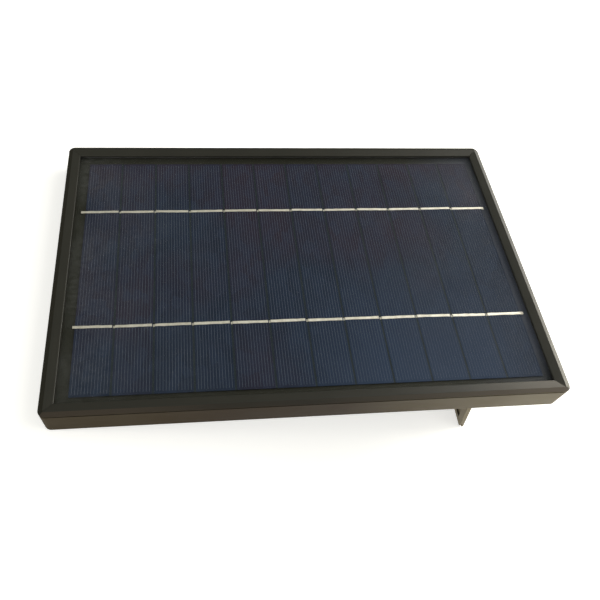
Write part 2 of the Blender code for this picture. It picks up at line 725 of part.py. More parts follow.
def main():
    clear_scene()
    frame_black = make_material("black anodised aluminium", (0.028, 0.028, 0.024), 0.38, 0.3)
    leg_black = make_material("black coated steel", (0.035, 0.034, 0.03), 0.42, 0.2)
    steel = make_material("zinc plated steel", (0.55, 0.55, 0.53), 0.35, 1.0)
    brass = make_material("brass", (0.72, 0.55, 0.28), 0.35, 1.0)
    clear = make_material("clear front sheet", (0.85, 0.88, 0.9), 0.15, alpha=0.2)
    silicon = make_material("blue silicon", (0.018, 0.028, 0.06), 0.35)
    solder = make_material("tinned ribbon", (0.62, 0.6, 0.54), 0.4, 1.0)
    board_black = make_material("black board", (0.025, 0.026, 0.022), 0.5)
    rubber = make_material("grey seal", (0.05, 0.05, 0.05), 0.8)
    plastic = make_material("black box plastic", (0.02, 0.02, 0.022), 0.5)
    nylon = make_material("black nylon", (0.03, 0.03, 0.03), 0.55)

    stand = make_empty("panel_stand", (STAND_X, 0, STAND_Z), (0, -TILT, 0))
    rails = build_frame(stand, frame_black, steel)
    build_edge_seal(stand, rubber)
    board = build_laminate(stand, clear, silicon, solder, board_black)
    build_leg(stand, leg_black)
    build_pivots(stand, rails, steel, nylon)
    build_junction_box(stand, board, plastic, rubber, brass, steel, nylon, solder)


main()
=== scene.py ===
"""Looks of a small framed solar panel that stands on its fold-out leg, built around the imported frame.

Pieces are modelled in millimetres in the panel's own frame (x along the long side, y along the short
side, z up from the frame's rear face) or in the leg's frame (origin on the pivot axis).
"""

import json
import logging
import math
import random
from dataclasses import dataclass, field
from enum import Enum
from typing import Iterator, Sequence

import bmesh
import bpy
from mathutils import Euler, Matrix, Vector


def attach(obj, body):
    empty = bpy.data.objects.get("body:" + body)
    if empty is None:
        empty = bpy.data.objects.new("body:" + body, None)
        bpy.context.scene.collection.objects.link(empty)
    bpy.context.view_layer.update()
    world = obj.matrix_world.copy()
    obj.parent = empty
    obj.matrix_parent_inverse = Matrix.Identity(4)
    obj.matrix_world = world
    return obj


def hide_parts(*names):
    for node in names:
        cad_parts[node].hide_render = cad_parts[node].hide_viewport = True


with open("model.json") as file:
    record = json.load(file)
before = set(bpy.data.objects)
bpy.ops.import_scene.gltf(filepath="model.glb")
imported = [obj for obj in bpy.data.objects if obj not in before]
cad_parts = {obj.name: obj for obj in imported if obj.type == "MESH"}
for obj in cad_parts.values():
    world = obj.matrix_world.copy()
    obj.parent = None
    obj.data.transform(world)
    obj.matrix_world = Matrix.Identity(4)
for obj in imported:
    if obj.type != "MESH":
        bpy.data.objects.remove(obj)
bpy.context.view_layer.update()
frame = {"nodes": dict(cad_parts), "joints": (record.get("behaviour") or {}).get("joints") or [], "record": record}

LOG = logging.getLogger("solar_panel")
SEED = 11

# A millimetre in metres, and in millimetres the gap between pieces and a cutter's reach past what it cuts.
MM = 0.001
GAP = 0.3
OVERCUT = 1.0

EIGHTH_TURN = math.pi / 4
QUARTER_TURN = math.pi / 2
FULL_TURN = 2 * math.pi

# The leg leans from upright by the panel's tilt and by its own angle past square to the panel.
LEG_LEAN = math.radians(15.0 + 12.0)

# Sides of a hexagon, and the numbers of the corner keys and of the lid's screws.
HEXAGON = 6
CORNERS = range(1, 5)

# How finely meshes are made, and the turns at an edge that count as flat, as bevelled and as sharp.
CIRCLE_STEPS = 36
MERGE_DIGITS = 5
FLAT_ANGLE = math.radians(1.0)
BEVEL_ANGLE = math.radians(30.0)
SHARP_ANGLE = math.radians(38.0)

# Ways that a face may look in its piece's own frame, and how far it leans that way to count.
OUTWARD = Vector((0.0, -1.0, 0.0))
INWARD = Vector((-1.0, 0.0, 0.0))
SHOULDER_TILT = 0.1
WALL_TILT = 0.6

# Places of the colour sockets on a Mix node.
MIX_FACTOR, MIX_FIRST, MIX_SECOND, MIX_RESULT = 0, 6, 7, 2

# Drawn lines along x on the rails and along y on the leg, in patches for each millimetre.
RAIL_LINES = (0.012, 3.2, 3.2)
LEG_LINES = (3.2, 0.012, 3.2)

Point = Sequence[float]
Outline = list[tuple[float, float]]
Profile = Sequence[tuple[float, float]]
Ring = list[tuple[float, float, float]]
Span = tuple[float, float]
Colour = tuple[float, float, float]
Material = bpy.types.Material
Socket = bpy.types.NodeSocket


class Side(Enum):
    """A side of the frame, with the quarter turns that bring the near side round to it."""

    NEAR = 0
    RIGHT = 1
    FAR = 2
    LEFT = 3

    @property
    def label(self) -> str:
        """The side's name in piece and node names."""
        return self.name.lower()

    @property
    def is_long(self) -> bool:
        """Whether the side runs along the panel's length."""
        return self in (Side.NEAR, Side.FAR)


class Joining(Enum):
    """How one shape is combined with others."""

    ADD = "UNION"
    CUT = "DIFFERENCE"


@dataclass(frozen=True)
class LocalFrame:
    """A frame that pieces are modelled in, and the body that they ride on.

    A baked frame goes into the mesh, which keeps the piece's box tight where the frame is steep.
    """

    body: str
    matrix: Matrix
    baked: bool = False

    def span(self, node: str) -> tuple[Vector, Vector]:
        """Find a CAD node's lowest and highest corner in this frame.

        Args:
            node: Name of the CAD node.

        Returns:
            The two corners, in millimetres.
        """
        inverse = self.matrix.inverted()
        points = [inverse @ vertex.co / MM for vertex in frame["nodes"][node].data.vertices]
        low = Vector(min(point[axis] for point in points) for axis in range(3))
        high = Vector(max(point[axis] for point in points) for axis in range(3))
        return low, high

    def middle(self, node: str) -> Vector:
        """Find the middle of a CAD node in this frame, in millimetres."""
        low, high = self.span(node)
        return (low + high) / 2

    @classmethod
    def of_panel(cls) -> "LocalFrame":
        """Build the panel's frame from the two mounts on its rear face.

        Returns:
            The frame, midway between the mounts.
        """
        left, right = (Vector(mount["pos_m"]) for mount in frame["record"]["mounts"])
        along = (right - left).normalized()
        across = Vector((0.0, 1.0, 0.0))
        turn = Matrix((along, across, along.cross(across))).transposed().to_4x4()
        return cls("panel", Matrix.Translation((left + right) / 2) @ turn)

    @classmethod
    def of_leg(cls) -> "LocalFrame":
        """Build the leg's frame on the pivot axis, with x out of the plate's outer face and z up along it."""
        pivot = Vector(frame["joints"][0]["pos_m"])
        return cls("leg", Matrix.Translation(pivot) @ Matrix.Rotation(-LEG_LEAN, 4, "Y"), True)


class NodeGraph:
    """The node tree of one material or world, with short calls for the nodes that are used often."""

    def __init__(self, owner: Material | bpy.types.World) -> None:
        """Start with an empty tree.

        Args:
            owner: The material or world whose tree it is.
        """
        self.owner = owner
        owner.use_nodes = True
        self.tree = owner.node_tree
        self.tree.nodes.clear()

    def node(self, kind: str, **settings: object) -> bpy.types.Node:
        """Add a node.

        Args:
            kind: Blender's name of the node type.
            settings: Node properties to set.

        Returns:
            The new node.
        """
        made = self.tree.nodes.new(kind)
        for key, value in settings.items():
            setattr(made, key, value)
        return made

    def feed(self, socket: Socket, value: object) -> None:
        """Link a socket to another one, or set it to a constant.

        Args:
            socket: The input.
            value: Socket, number, vector or colour.
        """
        if isinstance(value, Socket):
            self.tree.links.new(value, socket)
        elif socket.type == "RGBA":
            socket.default_value = (*value, 1.0)
        else:
            socket.default_value = value

    def place(self, per_mm: float | Point) -> Socket:
        """Give the surface's own coordinates, scaled.

        Args:
            per_mm: Pattern units for each millimetre, one number for all axes or one for each.

        Returns:
            The scaled coordinates.
        """
        scales = (per_mm,) * 3 if isinstance(per_mm, float) else per_mm
        mapping = self.node("ShaderNodeMapping")
        mapping.inputs["Scale"].default_value = [scale / MM for scale in scales]
        self.feed(mapping.inputs["Vector"], self.node("ShaderNodeTexCoord").outputs["Object"])
        return mapping.outputs["Vector"]

    def axis(self, name: str) -> Socket:
        """Give the surface's own coordinate along one axis.

        Args:
            name: X, Y or Z.

        Returns:
            The coordinate, in millimetres.
        """
        axes = self.node("ShaderNodeSeparateXYZ")
        self.feed(axes.inputs["Vector"], self.place(1.0))
        return axes.outputs[name]

    def noise(self, per_mm: float | Point, detail: float = 3.0) -> Socket:
        """Add a cloudy pattern of about one patch for each pattern unit.

        Args:
            per_mm: Pattern units for each millimetre, one number for all axes or one for each.
            detail: How many finer layers it has.

        Returns:
            A value about 0.5.
        """
        noise = self.node("ShaderNodeTexNoise")
        noise.inputs["Scale"].default_value = 1.0
        noise.inputs["Detail"].default_value = detail
        self.feed(noise.inputs["Vector"], self.place(per_mm))
        return noise.outputs["Fac"]

    def crystals(self, per_mm: Point) -> Socket:
        """Add flat patches of random grey, as of crystal grains.

        Args:
            per_mm: Grains for each millimetre along x, y and z.

        Returns:
            A value from 0 to 1, constant over each grain.
        """
        voronoi = self.node("ShaderNodeTexVoronoi", feature="F1")
        voronoi.inputs["Scale"].default_value = 1.0
        self.feed(voronoi.inputs["Vector"], self.place(per_mm))
        channels = self.node("ShaderNodeSeparateColor")
        self.feed(channels.inputs["Color"], voronoi.outputs["Color"])
        return channels.outputs["Red"]

    def spread(self, value: Socket, low: float, high: float, start: float = 0.3, end: float = 0.7) -> Socket:
        """Map a pattern's usual range onto another range.

        Args:
            value: The pattern.
            low: Result where the pattern is at start or under it.
            high: Result where the pattern is at end or over it.
            start: Lower end of the pattern's range.
            end: Upper end of the pattern's range.

        Returns:
            The mapped value.
        """
        remap = self.node("ShaderNodeMapRange")
        for name, number in (("From Min", start), ("From Max", end), ("To Min", low), ("To Max", high)):
            remap.inputs[name].default_value = number
        self.feed(remap.inputs["Value"], value)
        return remap.outputs["Result"]

    def blend(self, factor: Socket, first: object, second: object) -> Socket:
        """Mix two colours.

        Args:
            factor: 0 for the first colour, 1 for the second.
            first: Colour or colour socket.
            second: Colour or colour socket.

        Returns:
            The mixed colour.
        """
        mix = self.node("ShaderNodeMix", data_type="RGBA")
        for place, value in ((MIX_FACTOR, factor), (MIX_FIRST, first), (MIX_SECOND, second)):
            self.feed(mix.inputs[place], value)
        return mix.outputs[MIX_RESULT]

    def combine(self, operation: str, first: object, *others: object) -> Socket:
        """Join values by an arithmetic operation, from the first on.

        Args:
            operation: Blender's name of the operation.
            first: Number or socket.
            others: Numbers or sockets.

        Returns:
            The result.
        """
        result = first
        for value in others:
            maths = self.node("ShaderNodeMath", operation=operation)
            self.feed(maths.inputs[0], result)
            self.feed(maths.inputs[1], value)
            result = maths.outputs[0]
        return result

    def bump(self, height: Socket, depth: float, strength: float = 1.0) -> Socket:
        """Roughen the surface.

        Args:
            height: Height pattern.
            depth: Height of the relief in millimetres.
            strength: How much of it shows.

        Returns:
            The bent surface normal.
        """
        bump = self.node("ShaderNodeBump")
        bump.inputs["Strength"].default_value = strength
        bump.inputs["Distance"].default_value = depth * MM
        self.feed(bump.inputs["Height"], height)
        return bump.outputs["Normal"]

    def cover(self, share: Socket, under: Socket, over: Socket) -> Socket:
        """Lay one shader over another.

        Args:
            share: How much of the upper shader shows.
            under: The lower shader.
            over: The upper shader.

        Returns:
            The mixed shader.
        """
        mix = self.node("ShaderNodeMixShader")
        for socket, value in zip(mix.inputs, (share, under, over)):
            self.feed(socket, value)
        return mix.outputs["Shader"]

    def principled(self, **inputs: object) -> Material:
        """Finish the material with one Principled shader.

        Args:
            inputs: Socket values by socket name, with _ for each space.

        Returns:
            The material.
        """
        shader = self.node("ShaderNodeBsdfPrincipled")
        for key, value in inputs.items():
            self.feed(shader.inputs[key.replace("_", " ")], value)
        return self.output(shader.outputs["BSDF"])

    def output(self, shader: Socket) -> Material | bpy.types.World:
        """Finish the tree with a shader.

        Args:
            shader: What the surface or the background shows.

        Returns:
            The tree's material or world.
        """
        kind = "World" if isinstance(self.owner, bpy.types.World) else "Material"
        self.feed(self.node(f"ShaderNodeOutput{kind}").inputs["Surface"], shader)
        return self.owner


@dataclass(frozen=True)
class Finish:
    """A surface finish: its material's name and the record's slot that it stands for.

    Patterns are in patches for each millimetre, reliefs and places in millimetres.
    """

    name: str
    slot: str

    def graph(self) -> NodeGraph:
        """Start the finish's material."""
        return NodeGraph(bpy.data.materials.new(self.name))

    def build(self) -> Material:
        """Make the finish's material."""
        raise NotImplementedError


@dataclass(frozen=True)
class SatinCoat(Finish):
    """Black coating on drawn metal, with faint lines along one of the piece's own axes.

    What it has by default is the frame's plain coating.
    """

    slot: str = "frame_black"
    deep: Colour = (0.009, 0.009, 0.006)
    pale: Colour = (0.018, 0.0175, 0.012)
    smooth: float = 0.38
    rough: float = 0.46
    specular: float = 0.45
    lines: Point = RAIL_LINES
    line_depth: float = 0.006
    line_tone: float = 0.35
    clouds: Point = (0.035, 0.08, 0.08)
    cloud_tone: float = 0.5
    grain: float = 5.0
    grain_share: float = 0.35

    def colour(self, graph: NodeGraph, tone: Socket) -> Socket:
        """Let the tone mix the deep and the pale colour."""
        return graph.blend(tone, self.deep, self.pale)

    def roughness(self, graph: NodeGraph, clouds: Socket) -> Socket:
        """Let the clouds set how rough the coating is."""
        return graph.spread(clouds, self.smooth, self.rough)

    def build(self) -> Material:
        """Make the coating: clouded colour and roughness, and drawn lines.

        Returns:
            The material.
        """
        graph = self.graph()
        lines = graph.noise(self.lines, detail=4.0)
        clouds = graph.noise(self.clouds)
        line_tone = graph.spread(lines, self.line_tone, 1.0)
        tone = graph.combine("MULTIPLY", line_tone, graph.spread(clouds, self.cloud_tone, 1.0))
        grain = graph.combine("MULTIPLY", graph.noise(self.grain, detail=2.0), self.grain_share)
        return graph.principled(
            Base_Color=self.colour(graph, tone),
            Roughness=self.roughness(graph, clouds),
            Specular_IOR_Level=self.specular,
            Normal=graph.bump(graph.combine("ADD", lines, grain), self.line_depth),
        )


@dataclass(frozen=True)
class SheenPaintedCoat(SatinCoat):
    """Coating that is rough towards one end and smooth towards the other, with painted light and shade along it.
    """

    # Painted light: the smooth end's colour is a painted reflection and highlight, and on the near rail so is the
    # rough end's colour; the darker plain coat between them is painted shade.
    rough_end_tone: Colour = (0.036, 0.028, 0.020)
    painted_sheen: Colour = (0.058, 0.046, 0.033)
    dull_at: float = -95.0
    rough_tone_until: float = -45.0
    sheen_from: float = 0.0
    smooth_at: float = 120.0
    unevenness: float = 0.06

    def colour(self, graph: NodeGraph, tone: Socket) -> Socket:
        """Let the colour go from the rough end's tone over the plain coating to a painted, warmer sheen.

        Args:
            graph: The material's nodes.
            tone: Mix of the deep and the pale colour.

        Returns:
            The colour.
        """
        # The two end colours are painted light, laid over the plain coat along the piece.
        along = graph.axis("X")
        rough_tone_share = graph.spread(along, 1.0, 0.0, self.dull_at, self.rough_tone_until)
        end_sheen_share = graph.spread(along, 0.0, 1.0, self.sheen_from, self.smooth_at)
        rough_end_colour = graph.blend(rough_tone_share, super().colour(graph, tone), self.rough_end_tone)
        return graph.blend(end_sheen_share, rough_end_colour, self.painted_sheen)

    def roughness(self, graph: NodeGraph, clouds: Socket) -> Socket:
        """Let the roughness fall along the piece, a little clouded.

        Args:
            graph: The material's nodes.
            clouds: Cloud pattern.

        Returns:
            The roughness.
        """
        along = graph.spread(graph.axis("X"), self.rough, self.smooth, self.dull_at, self.smooth_at)
        uneven = graph.spread(clouds, 1.0 - self.unevenness, 1.0 + self.unevenness)
        return graph.combine("MULTIPLY", along, uneven)


@dataclass(frozen=True)
class BareMetal(Finish):
    """Plain or plated metal with small stains and turning marks."""

    clean: Colour
    stained: Colour
    smooth: float
    rough: float
    grain: float
    stains: float = 0.45
    stain_range: Span = (0.35, 0.75)
    relief: float = 0.02
    relief_share: float = 0.6

    def build(self) -> Material:
        """Make the metal: stains in colour, and roughness and bump from its grain.

        Returns:
            The material.
        """
        graph = self.graph()
        stains = graph.spread(graph.noise(self.stains, detail=4.0), 0.0, 1.0, *self.stain_range)
        grain = graph.noise(self.grain)
        return graph.principled(
            Base_Color=graph.blend(stains, self.clean, self.stained),
            Metallic=1.0,
            Roughness=graph.spread(grain, self.smooth, self.rough),
            Normal=graph.bump(grain, self.relief, self.relief_share),
        )


@dataclass(frozen=True)
class Moulding(Finish):
    """Plastic, rubber, paste or film with a fine grain."""

    deep: Colour
    pale: Colour
    smooth: float
    rough: float
    grain: float
    grain_depth: float
    specular: float = 0.5
    clouds: float = 0.12
    cloud_tone: float = 0.3
    grain_tone: float = 0.6

    def build(self) -> Material:
        """Make the moulding: grain in relief and roughness, and a little cloud in its colour.

        Returns:
            The material.
        """
        graph = self.graph()
        grain = graph.noise(self.grain, detail=2.0)
        cloud_tone = graph.spread(graph.noise(self.clouds), self.cloud_tone, 1.0)
        tone = graph.combine("MULTIPLY", cloud_tone, graph.spread(grain, self.grain_tone, 1.0))
        return graph.principled(
            Base_Color=graph.blend(tone, self.deep, self.pale),
            Roughness=graph.spread(grain, self.smooth, self.rough),
            Specular_IOR_Level=self.specular,
            Normal=graph.bump(grain, self.grain_depth),
        )


@dataclass(frozen=True)
class CellBoard(Finish):
    """Board behind the cells: black, with a painted sheen towards the near part of its right border."""

    plain: Colour = (0.0215, 0.0225, 0.0155)
    board_sheen: Colour = (0.080, 0.093, 0.132)
    pits: Colour = (0.008, 0.009, 0.007)
    pit_share: float = 0.25
    right_places: Span = (78.0, 122.0)
    far_places: Span = (0.0, 75.0)
    far_share: float = 0.55
    near_places: Span = (-78.0, -60.0)
    near_share: float = 0.4
    smooth: float = 0.5
    rough: float = 0.6
    specular: float = 0.2
    grain: float = 4.0
    grain_depth: float = 0.002

    def build(self) -> Material:
        """Make the board: a painted sheen towards one corner, and a fine grain all over.

        Returns:
            The material.
        """
        graph = self.graph()
        grain = graph.noise(self.grain, detail=2.0)
        across = graph.axis("Y")
        # Painted sheen: the board turns paler and bluer towards the near part of its right border, standing in for
        # the gloss that brightens it there.
        rightness = graph.spread(graph.axis("X"), 0.0, 1.0, *self.right_places)
        far_fade = graph.spread(across, 1.0, self.far_share, *self.far_places)
        near_fade = graph.spread(across, self.near_share, 1.0, *self.near_places)
        board_sheen_share = graph.combine("MULTIPLY", rightness, graph.combine("MINIMUM", far_fade, near_fade))
        shade = graph.blend(board_sheen_share, self.plain, self.board_sheen)
        return graph.principled(
            Base_Color=graph.blend(graph.spread(grain, 0.0, self.pit_share), shade, self.pits),
            Roughness=graph.spread(grain, self.smooth, self.rough),
            Specular_IOR_Level=self.specular,
            Normal=graph.bump(grain, self.grain_depth),
        )


@dataclass(frozen=True)
class Silicon(Finish):
    """Coated polycrystalline wafer: blue that drifts to violet, a tone of its own for each strip.

    A hue of 0 is violet and a hue of 1 is blue.
    """

    first_edge: float
    pitch: float
    half_length: float
    blue: Colour = (0.0128, 0.0200, 0.0380)
    violet: Colour = (0.0225, 0.0178, 0.0310)
    pale_blue: Colour = (0.0245, 0.0405, 0.0780)
    drift: Point = (0.012, 0.016, 0.0)
    drift_range: Span = (0.38, 0.62)
    drift_hue: float = 0.8
    across_hues: Span = (0.65, -0.40)
    strip_hues: Span = (-0.2, 0.3)
    right_hue: float = 0.5
    right_places: Span = (82.0, 104.0)
    sheen_places: Span = (-20.0, 40.0)
    sheen_fade_places: Span = (100.0, 118.0)
    sheen_fade_share: float = 0.3
    large_grains: Point = (0.22, 0.12, 0.0)
    large_share: float = 0.35
    small_grains: Point = (0.7, 0.5, 0.0)
    small_share: float = 0.7
    smooth: float = 0.42
    rough: float = 0.6
    specular: float = 0.08

    def strip_tone(self, graph: NodeGraph) -> Socket:
        """Give one random value for each cell strip, from its place along the panel.

        Args:
            graph: The material's nodes.

        Returns:
            A value from 0 to 1.
        """
        distance = graph.combine("SUBTRACT", graph.axis("X"), self.first_edge)
        strip = graph.combine("FLOOR", graph.combine("DIVIDE", distance, self.pitch), 0.0)
        white = graph.node("ShaderNodeTexWhiteNoise", noise_dimensions="1D")
        graph.feed(white.inputs["W"], strip)
        return white.outputs["Value"]

    def hue(self, graph: NodeGraph) -> Socket:
        """Add up what turns the wafer from violet to blue.

        Args:
            graph: The material's nodes.

        Returns:
            The hue.
        """
        drift = graph.noise(self.drift, detail=2.0)
        return graph.combine(
            "ADD",
            graph.spread(drift, 0.0, self.drift_hue, *self.drift_range),
            graph.spread(graph.axis("Y"), *self.across_hues, -self.half_length, self.half_length),
            graph.spread(self.strip_tone(graph), *self.strip_hues, 0.0, 1.0),
            graph.spread(graph.axis("X"), 0.0, self.right_hue, *self.right_places),
        )

    def build(self) -> Material:
        """Make the wafer: its hue, a painted sheen on the near right part, and crystal grains.

        Returns:
            The material.
        """
        graph = self.graph()
        base = graph.blend(self.hue(graph), self.violet, self.blue)
        # Painted sheen: the near right part turns pale blue, standing in for the gloss that brightens it, and
        # fades again near the right border.
        along = graph.axis("X")
        nearness = graph.spread(graph.axis("Y"), 1.0, 0.0, -self.half_length, 0.0)
        rightness = graph.combine(
            "MINIMUM",
            graph.spread(along, 0.0, 1.0, *self.sheen_places),
            graph.spread(along, 1.0, self.sheen_fade_share, *self.sheen_fade_places),
        )
        base = graph.blend(graph.combine("MULTIPLY", nearness, rightness), base, self.pale_blue)
        grains = graph.crystals(self.large_grains)
        spangle = graph.combine(
            "MULTIPLY",
            graph.spread(grains, 0.0, self.large_share, 0.0, 1.0),
            graph.spread(graph.crystals(self.small_grains), self.small_share, 1.0, 0.0, 1.0),
        )
        return graph.principled(
            Base_Color=graph.blend(spangle, base, self.pale_blue),
            Roughness=graph.spread(grains, self.smooth, self.rough, 0.0, 1.0),
            Specular_IOR_Level=self.specular,
        )


@dataclass(frozen=True)
class ClearSheet(Finish):
    """Clear laminate: a soft gloss over what lies under it, with wisps of haze towards its ends."""

    index: float = 1.11
    smooth: float = 0.18
    rough: float = 0.26
    milk: Colour = (0.76, 0.80, 0.86)
    haze: float = 0.016
    clouds: Point = (0.02, 0.028, 0.0)
    cloud_share: float = 0.1
    wisps: Point = (0.22, 0.5, 0.0)
    wisp_share: float = 0.2
    right_haze: Span = (0.15, 0.9)
    right_places: Span = (10.0, 120.0)
    left_haze: Span = (1.5, 0.15)
    left_places: Span = (-120.0, -40.0)

    def build(self) -> Material:
        """Make the sheet: a Fresnel gloss and a trace of haze over clear transparency.

        Returns:
            The material.
        """
        graph = self.graph()
        clouds = graph.noise(self.clouds)
        wisps = graph.noise(self.wisps, detail=6.0)
        along = graph.axis("X")
        ends = graph.combine(
            "MAXIMUM",
            graph.spread(along, *self.right_haze, *self.right_places),
            graph.spread(along, *self.left_haze, *self.left_places),
        )
        cloud_haze = graph.spread(clouds, self.cloud_share, 1.0)
        wisp_haze = graph.spread(wisps, self.wisp_share, 1.0)
        haze = graph.combine("MULTIPLY", cloud_haze, wisp_haze, ends, self.haze)
        milk = graph.node("ShaderNodeBsdfDiffuse")
        graph.feed(milk.inputs["Color"], self.milk)
        clear = graph.node("ShaderNodeBsdfTransparent")
        cloudy = graph.cover(haze, clear.outputs["BSDF"], milk.outputs["BSDF"])
        gloss = graph.node("ShaderNodeBsdfGlossy")
        graph.feed(gloss.inputs["Roughness"], graph.spread(clouds, self.smooth, self.rough))
        fresnel = graph.node("ShaderNodeFresnel")
        graph.feed(fresnel.inputs["IOR"], self.index)
        leaving = graph.node("ShaderNodeNewGeometry").outputs["Backfacing"]
        shine = graph.combine("MULTIPLY", fresnel.outputs["Fac"], graph.combine("SUBTRACT", 1.0, leaving))
        return graph.output(graph.cover(shine, cloudy, gloss.outputs["BSDF"]))


class Palette:
    """Every finish on the panel but the wafers', each made into a material once."""

    coat = SatinCoat("black frame coat")
    # Near rail's top: paler and warmer towards its right end, a painted highlight.
    near_coat = SheenPaintedCoat(
        "near top coat, painted highlight",
        rough_end_tone=(0.0135, 0.013, 0.009), painted_sheen=(0.045, 0.037, 0.024), sheen_from=80.0,
    )
    # Near rail's shoulder: paler at the left end and from the middle rightwards as painted light, and darker just
    # left of the middle as painted shade.
    side_coat = SheenPaintedCoat(
        "worn frame coat",
        deep=(0.010, 0.0085, 0.006), pale=(0.022, 0.019, 0.0135), smooth=0.40, rough=0.78, specular=0.30,
    )
    # Near rail's wall: its brown tone and paler ends are painted reflection of the surroundings, and the darker
    # stretch about the middle is painted shade.
    wall_coat = SheenPaintedCoat(
        "rubbed frame coat",
        deep=(0.022, 0.014, 0.007), pale=(0.036, 0.023, 0.011), smooth=0.40, rough=0.78, specular=0.15,
        rough_end_tone=(0.048, 0.036, 0.020), painted_sheen=(0.124, 0.099, 0.049), sheen_from=15.0,
    )
    # Right rail's outer side: paler and warmer towards the near end, a painted highlight.
    right_side_coat = SheenPaintedCoat(
        "polished frame coat",
        deep=(0.012, 0.011, 0.007), pale=(0.022, 0.020, 0.013), smooth=0.37, rough=0.49, specular=0.6,
        rough_end_tone=(0.018, 0.017, 0.012), painted_sheen=(0.030, 0.027, 0.016),
        dull_at=85.0, rough_tone_until=60.0, smooth_at=-85.0,
    )
    edge_coat = SatinCoat(
        "dull frame coat",
        deep=(0.008, 0.0075, 0.004), pale=(0.015, 0.014, 0.008), smooth=0.52, rough=0.62, specular=0.22,
    )
    leg_coat = SatinCoat(
        "black leg coat", "leg_black",
        deep=(0.030, 0.026, 0.018), pale=(0.055, 0.048, 0.033), smooth=0.42, rough=0.52, specular=0.35,
        lines=LEG_LINES, line_depth=0.008,
    )
    # Paler tan coat on the leg's inner and near faces: painted bounce light and reflection on the black leg.
    leg_painted_light = SatinCoat(
        "rubbed leg coat", "leg_black",
        deep=(0.125, 0.100, 0.056), pale=(0.225, 0.184, 0.108), smooth=0.46, rough=0.58, specular=0.25,
        lines=LEG_LINES, line_depth=0.008,
    )
    steel = BareMetal(
        "plated steel", "plated_steel",
        clean=(0.58, 0.58, 0.56), stained=(0.42, 0.41, 0.37), smooth=0.26, rough=0.42, grain=2.0,
    )
    brass = BareMetal(
        "brass", "brass",
        clean=(0.72, 0.55, 0.28), stained=(0.5, 0.36, 0.16), smooth=0.3, rough=0.46, grain=1.5,
    )
    solder = BareMetal(
        "tinned ribbon", "tinned_ribbon",
        clean=(0.83, 0.81, 0.74), stained=(0.66, 0.63, 0.55), smooth=0.46, rough=0.66, grain=1.2,
    )
    paste = Moulding(
        "silver finger paste", "silicon",
        deep=(0.078, 0.099, 0.135), pale=(0.102, 0.126, 0.170), smooth=0.5, rough=0.65,
        grain=1.0, grain_depth=0.002, specular=0.2,
    )
    film = Moulding(
        "bond film", "board_black",
        deep=(0.0090, 0.0158, 0.0200), pale=(0.0138, 0.0235, 0.0295), smooth=0.5, rough=0.6,
        grain=1.0, grain_depth=0.002, specular=0.2,
    )
    rubber = Moulding(
        "seal rubber", "seal_rubber",
        deep=(0.03, 0.03, 0.03), pale=(0.06, 0.06, 0.06), smooth=0.7, rough=0.85,
        grain=2.5, grain_depth=0.02,
    )
    plastic = Moulding(
        "box plastic", "box_plastic",
        deep=(0.012, 0.012, 0.013), pale=(0.03, 0.03, 0.032), smooth=0.42, rough=0.58,
        grain=3.2, grain_depth=0.03,
    )
    nylon = Moulding(
        "black nylon", "black_nylon",
        deep=(0.018, 0.018, 0.018), pale=(0.04, 0.04, 0.04), smooth=0.45, rough=0.6,
        grain=1.6, grain_depth=0.015,
    )
    board = CellBoard("black board", "board_black")
    sheet = ClearSheet("clear front sheet", "clear_sheet")
    made: dict[str, Material] = {}

    @classmethod
    def material(cls, finish: Finish) -> Material:
        """Give a finish's material, making it the first time.

        Args:
            finish: The finish.

        Returns:
            Its material.
        """
        if finish.name not in cls.made:
            cls.made[finish.name] = finish.build()
        return cls.made[finish.name]

    @classmethod
    def dress(cls, node: str, finish: Finish) -> bpy.types.Object:
        """Give a CAD node that stays in view a finish.

        Args:
            node: The node's name.
            finish: Its finish.

        Returns:
            The node's object.
        """
        shown = frame["nodes"][node]
        shown.data.materials.clear()
        shown.data.materials.append(cls.material(finish))
        return shown


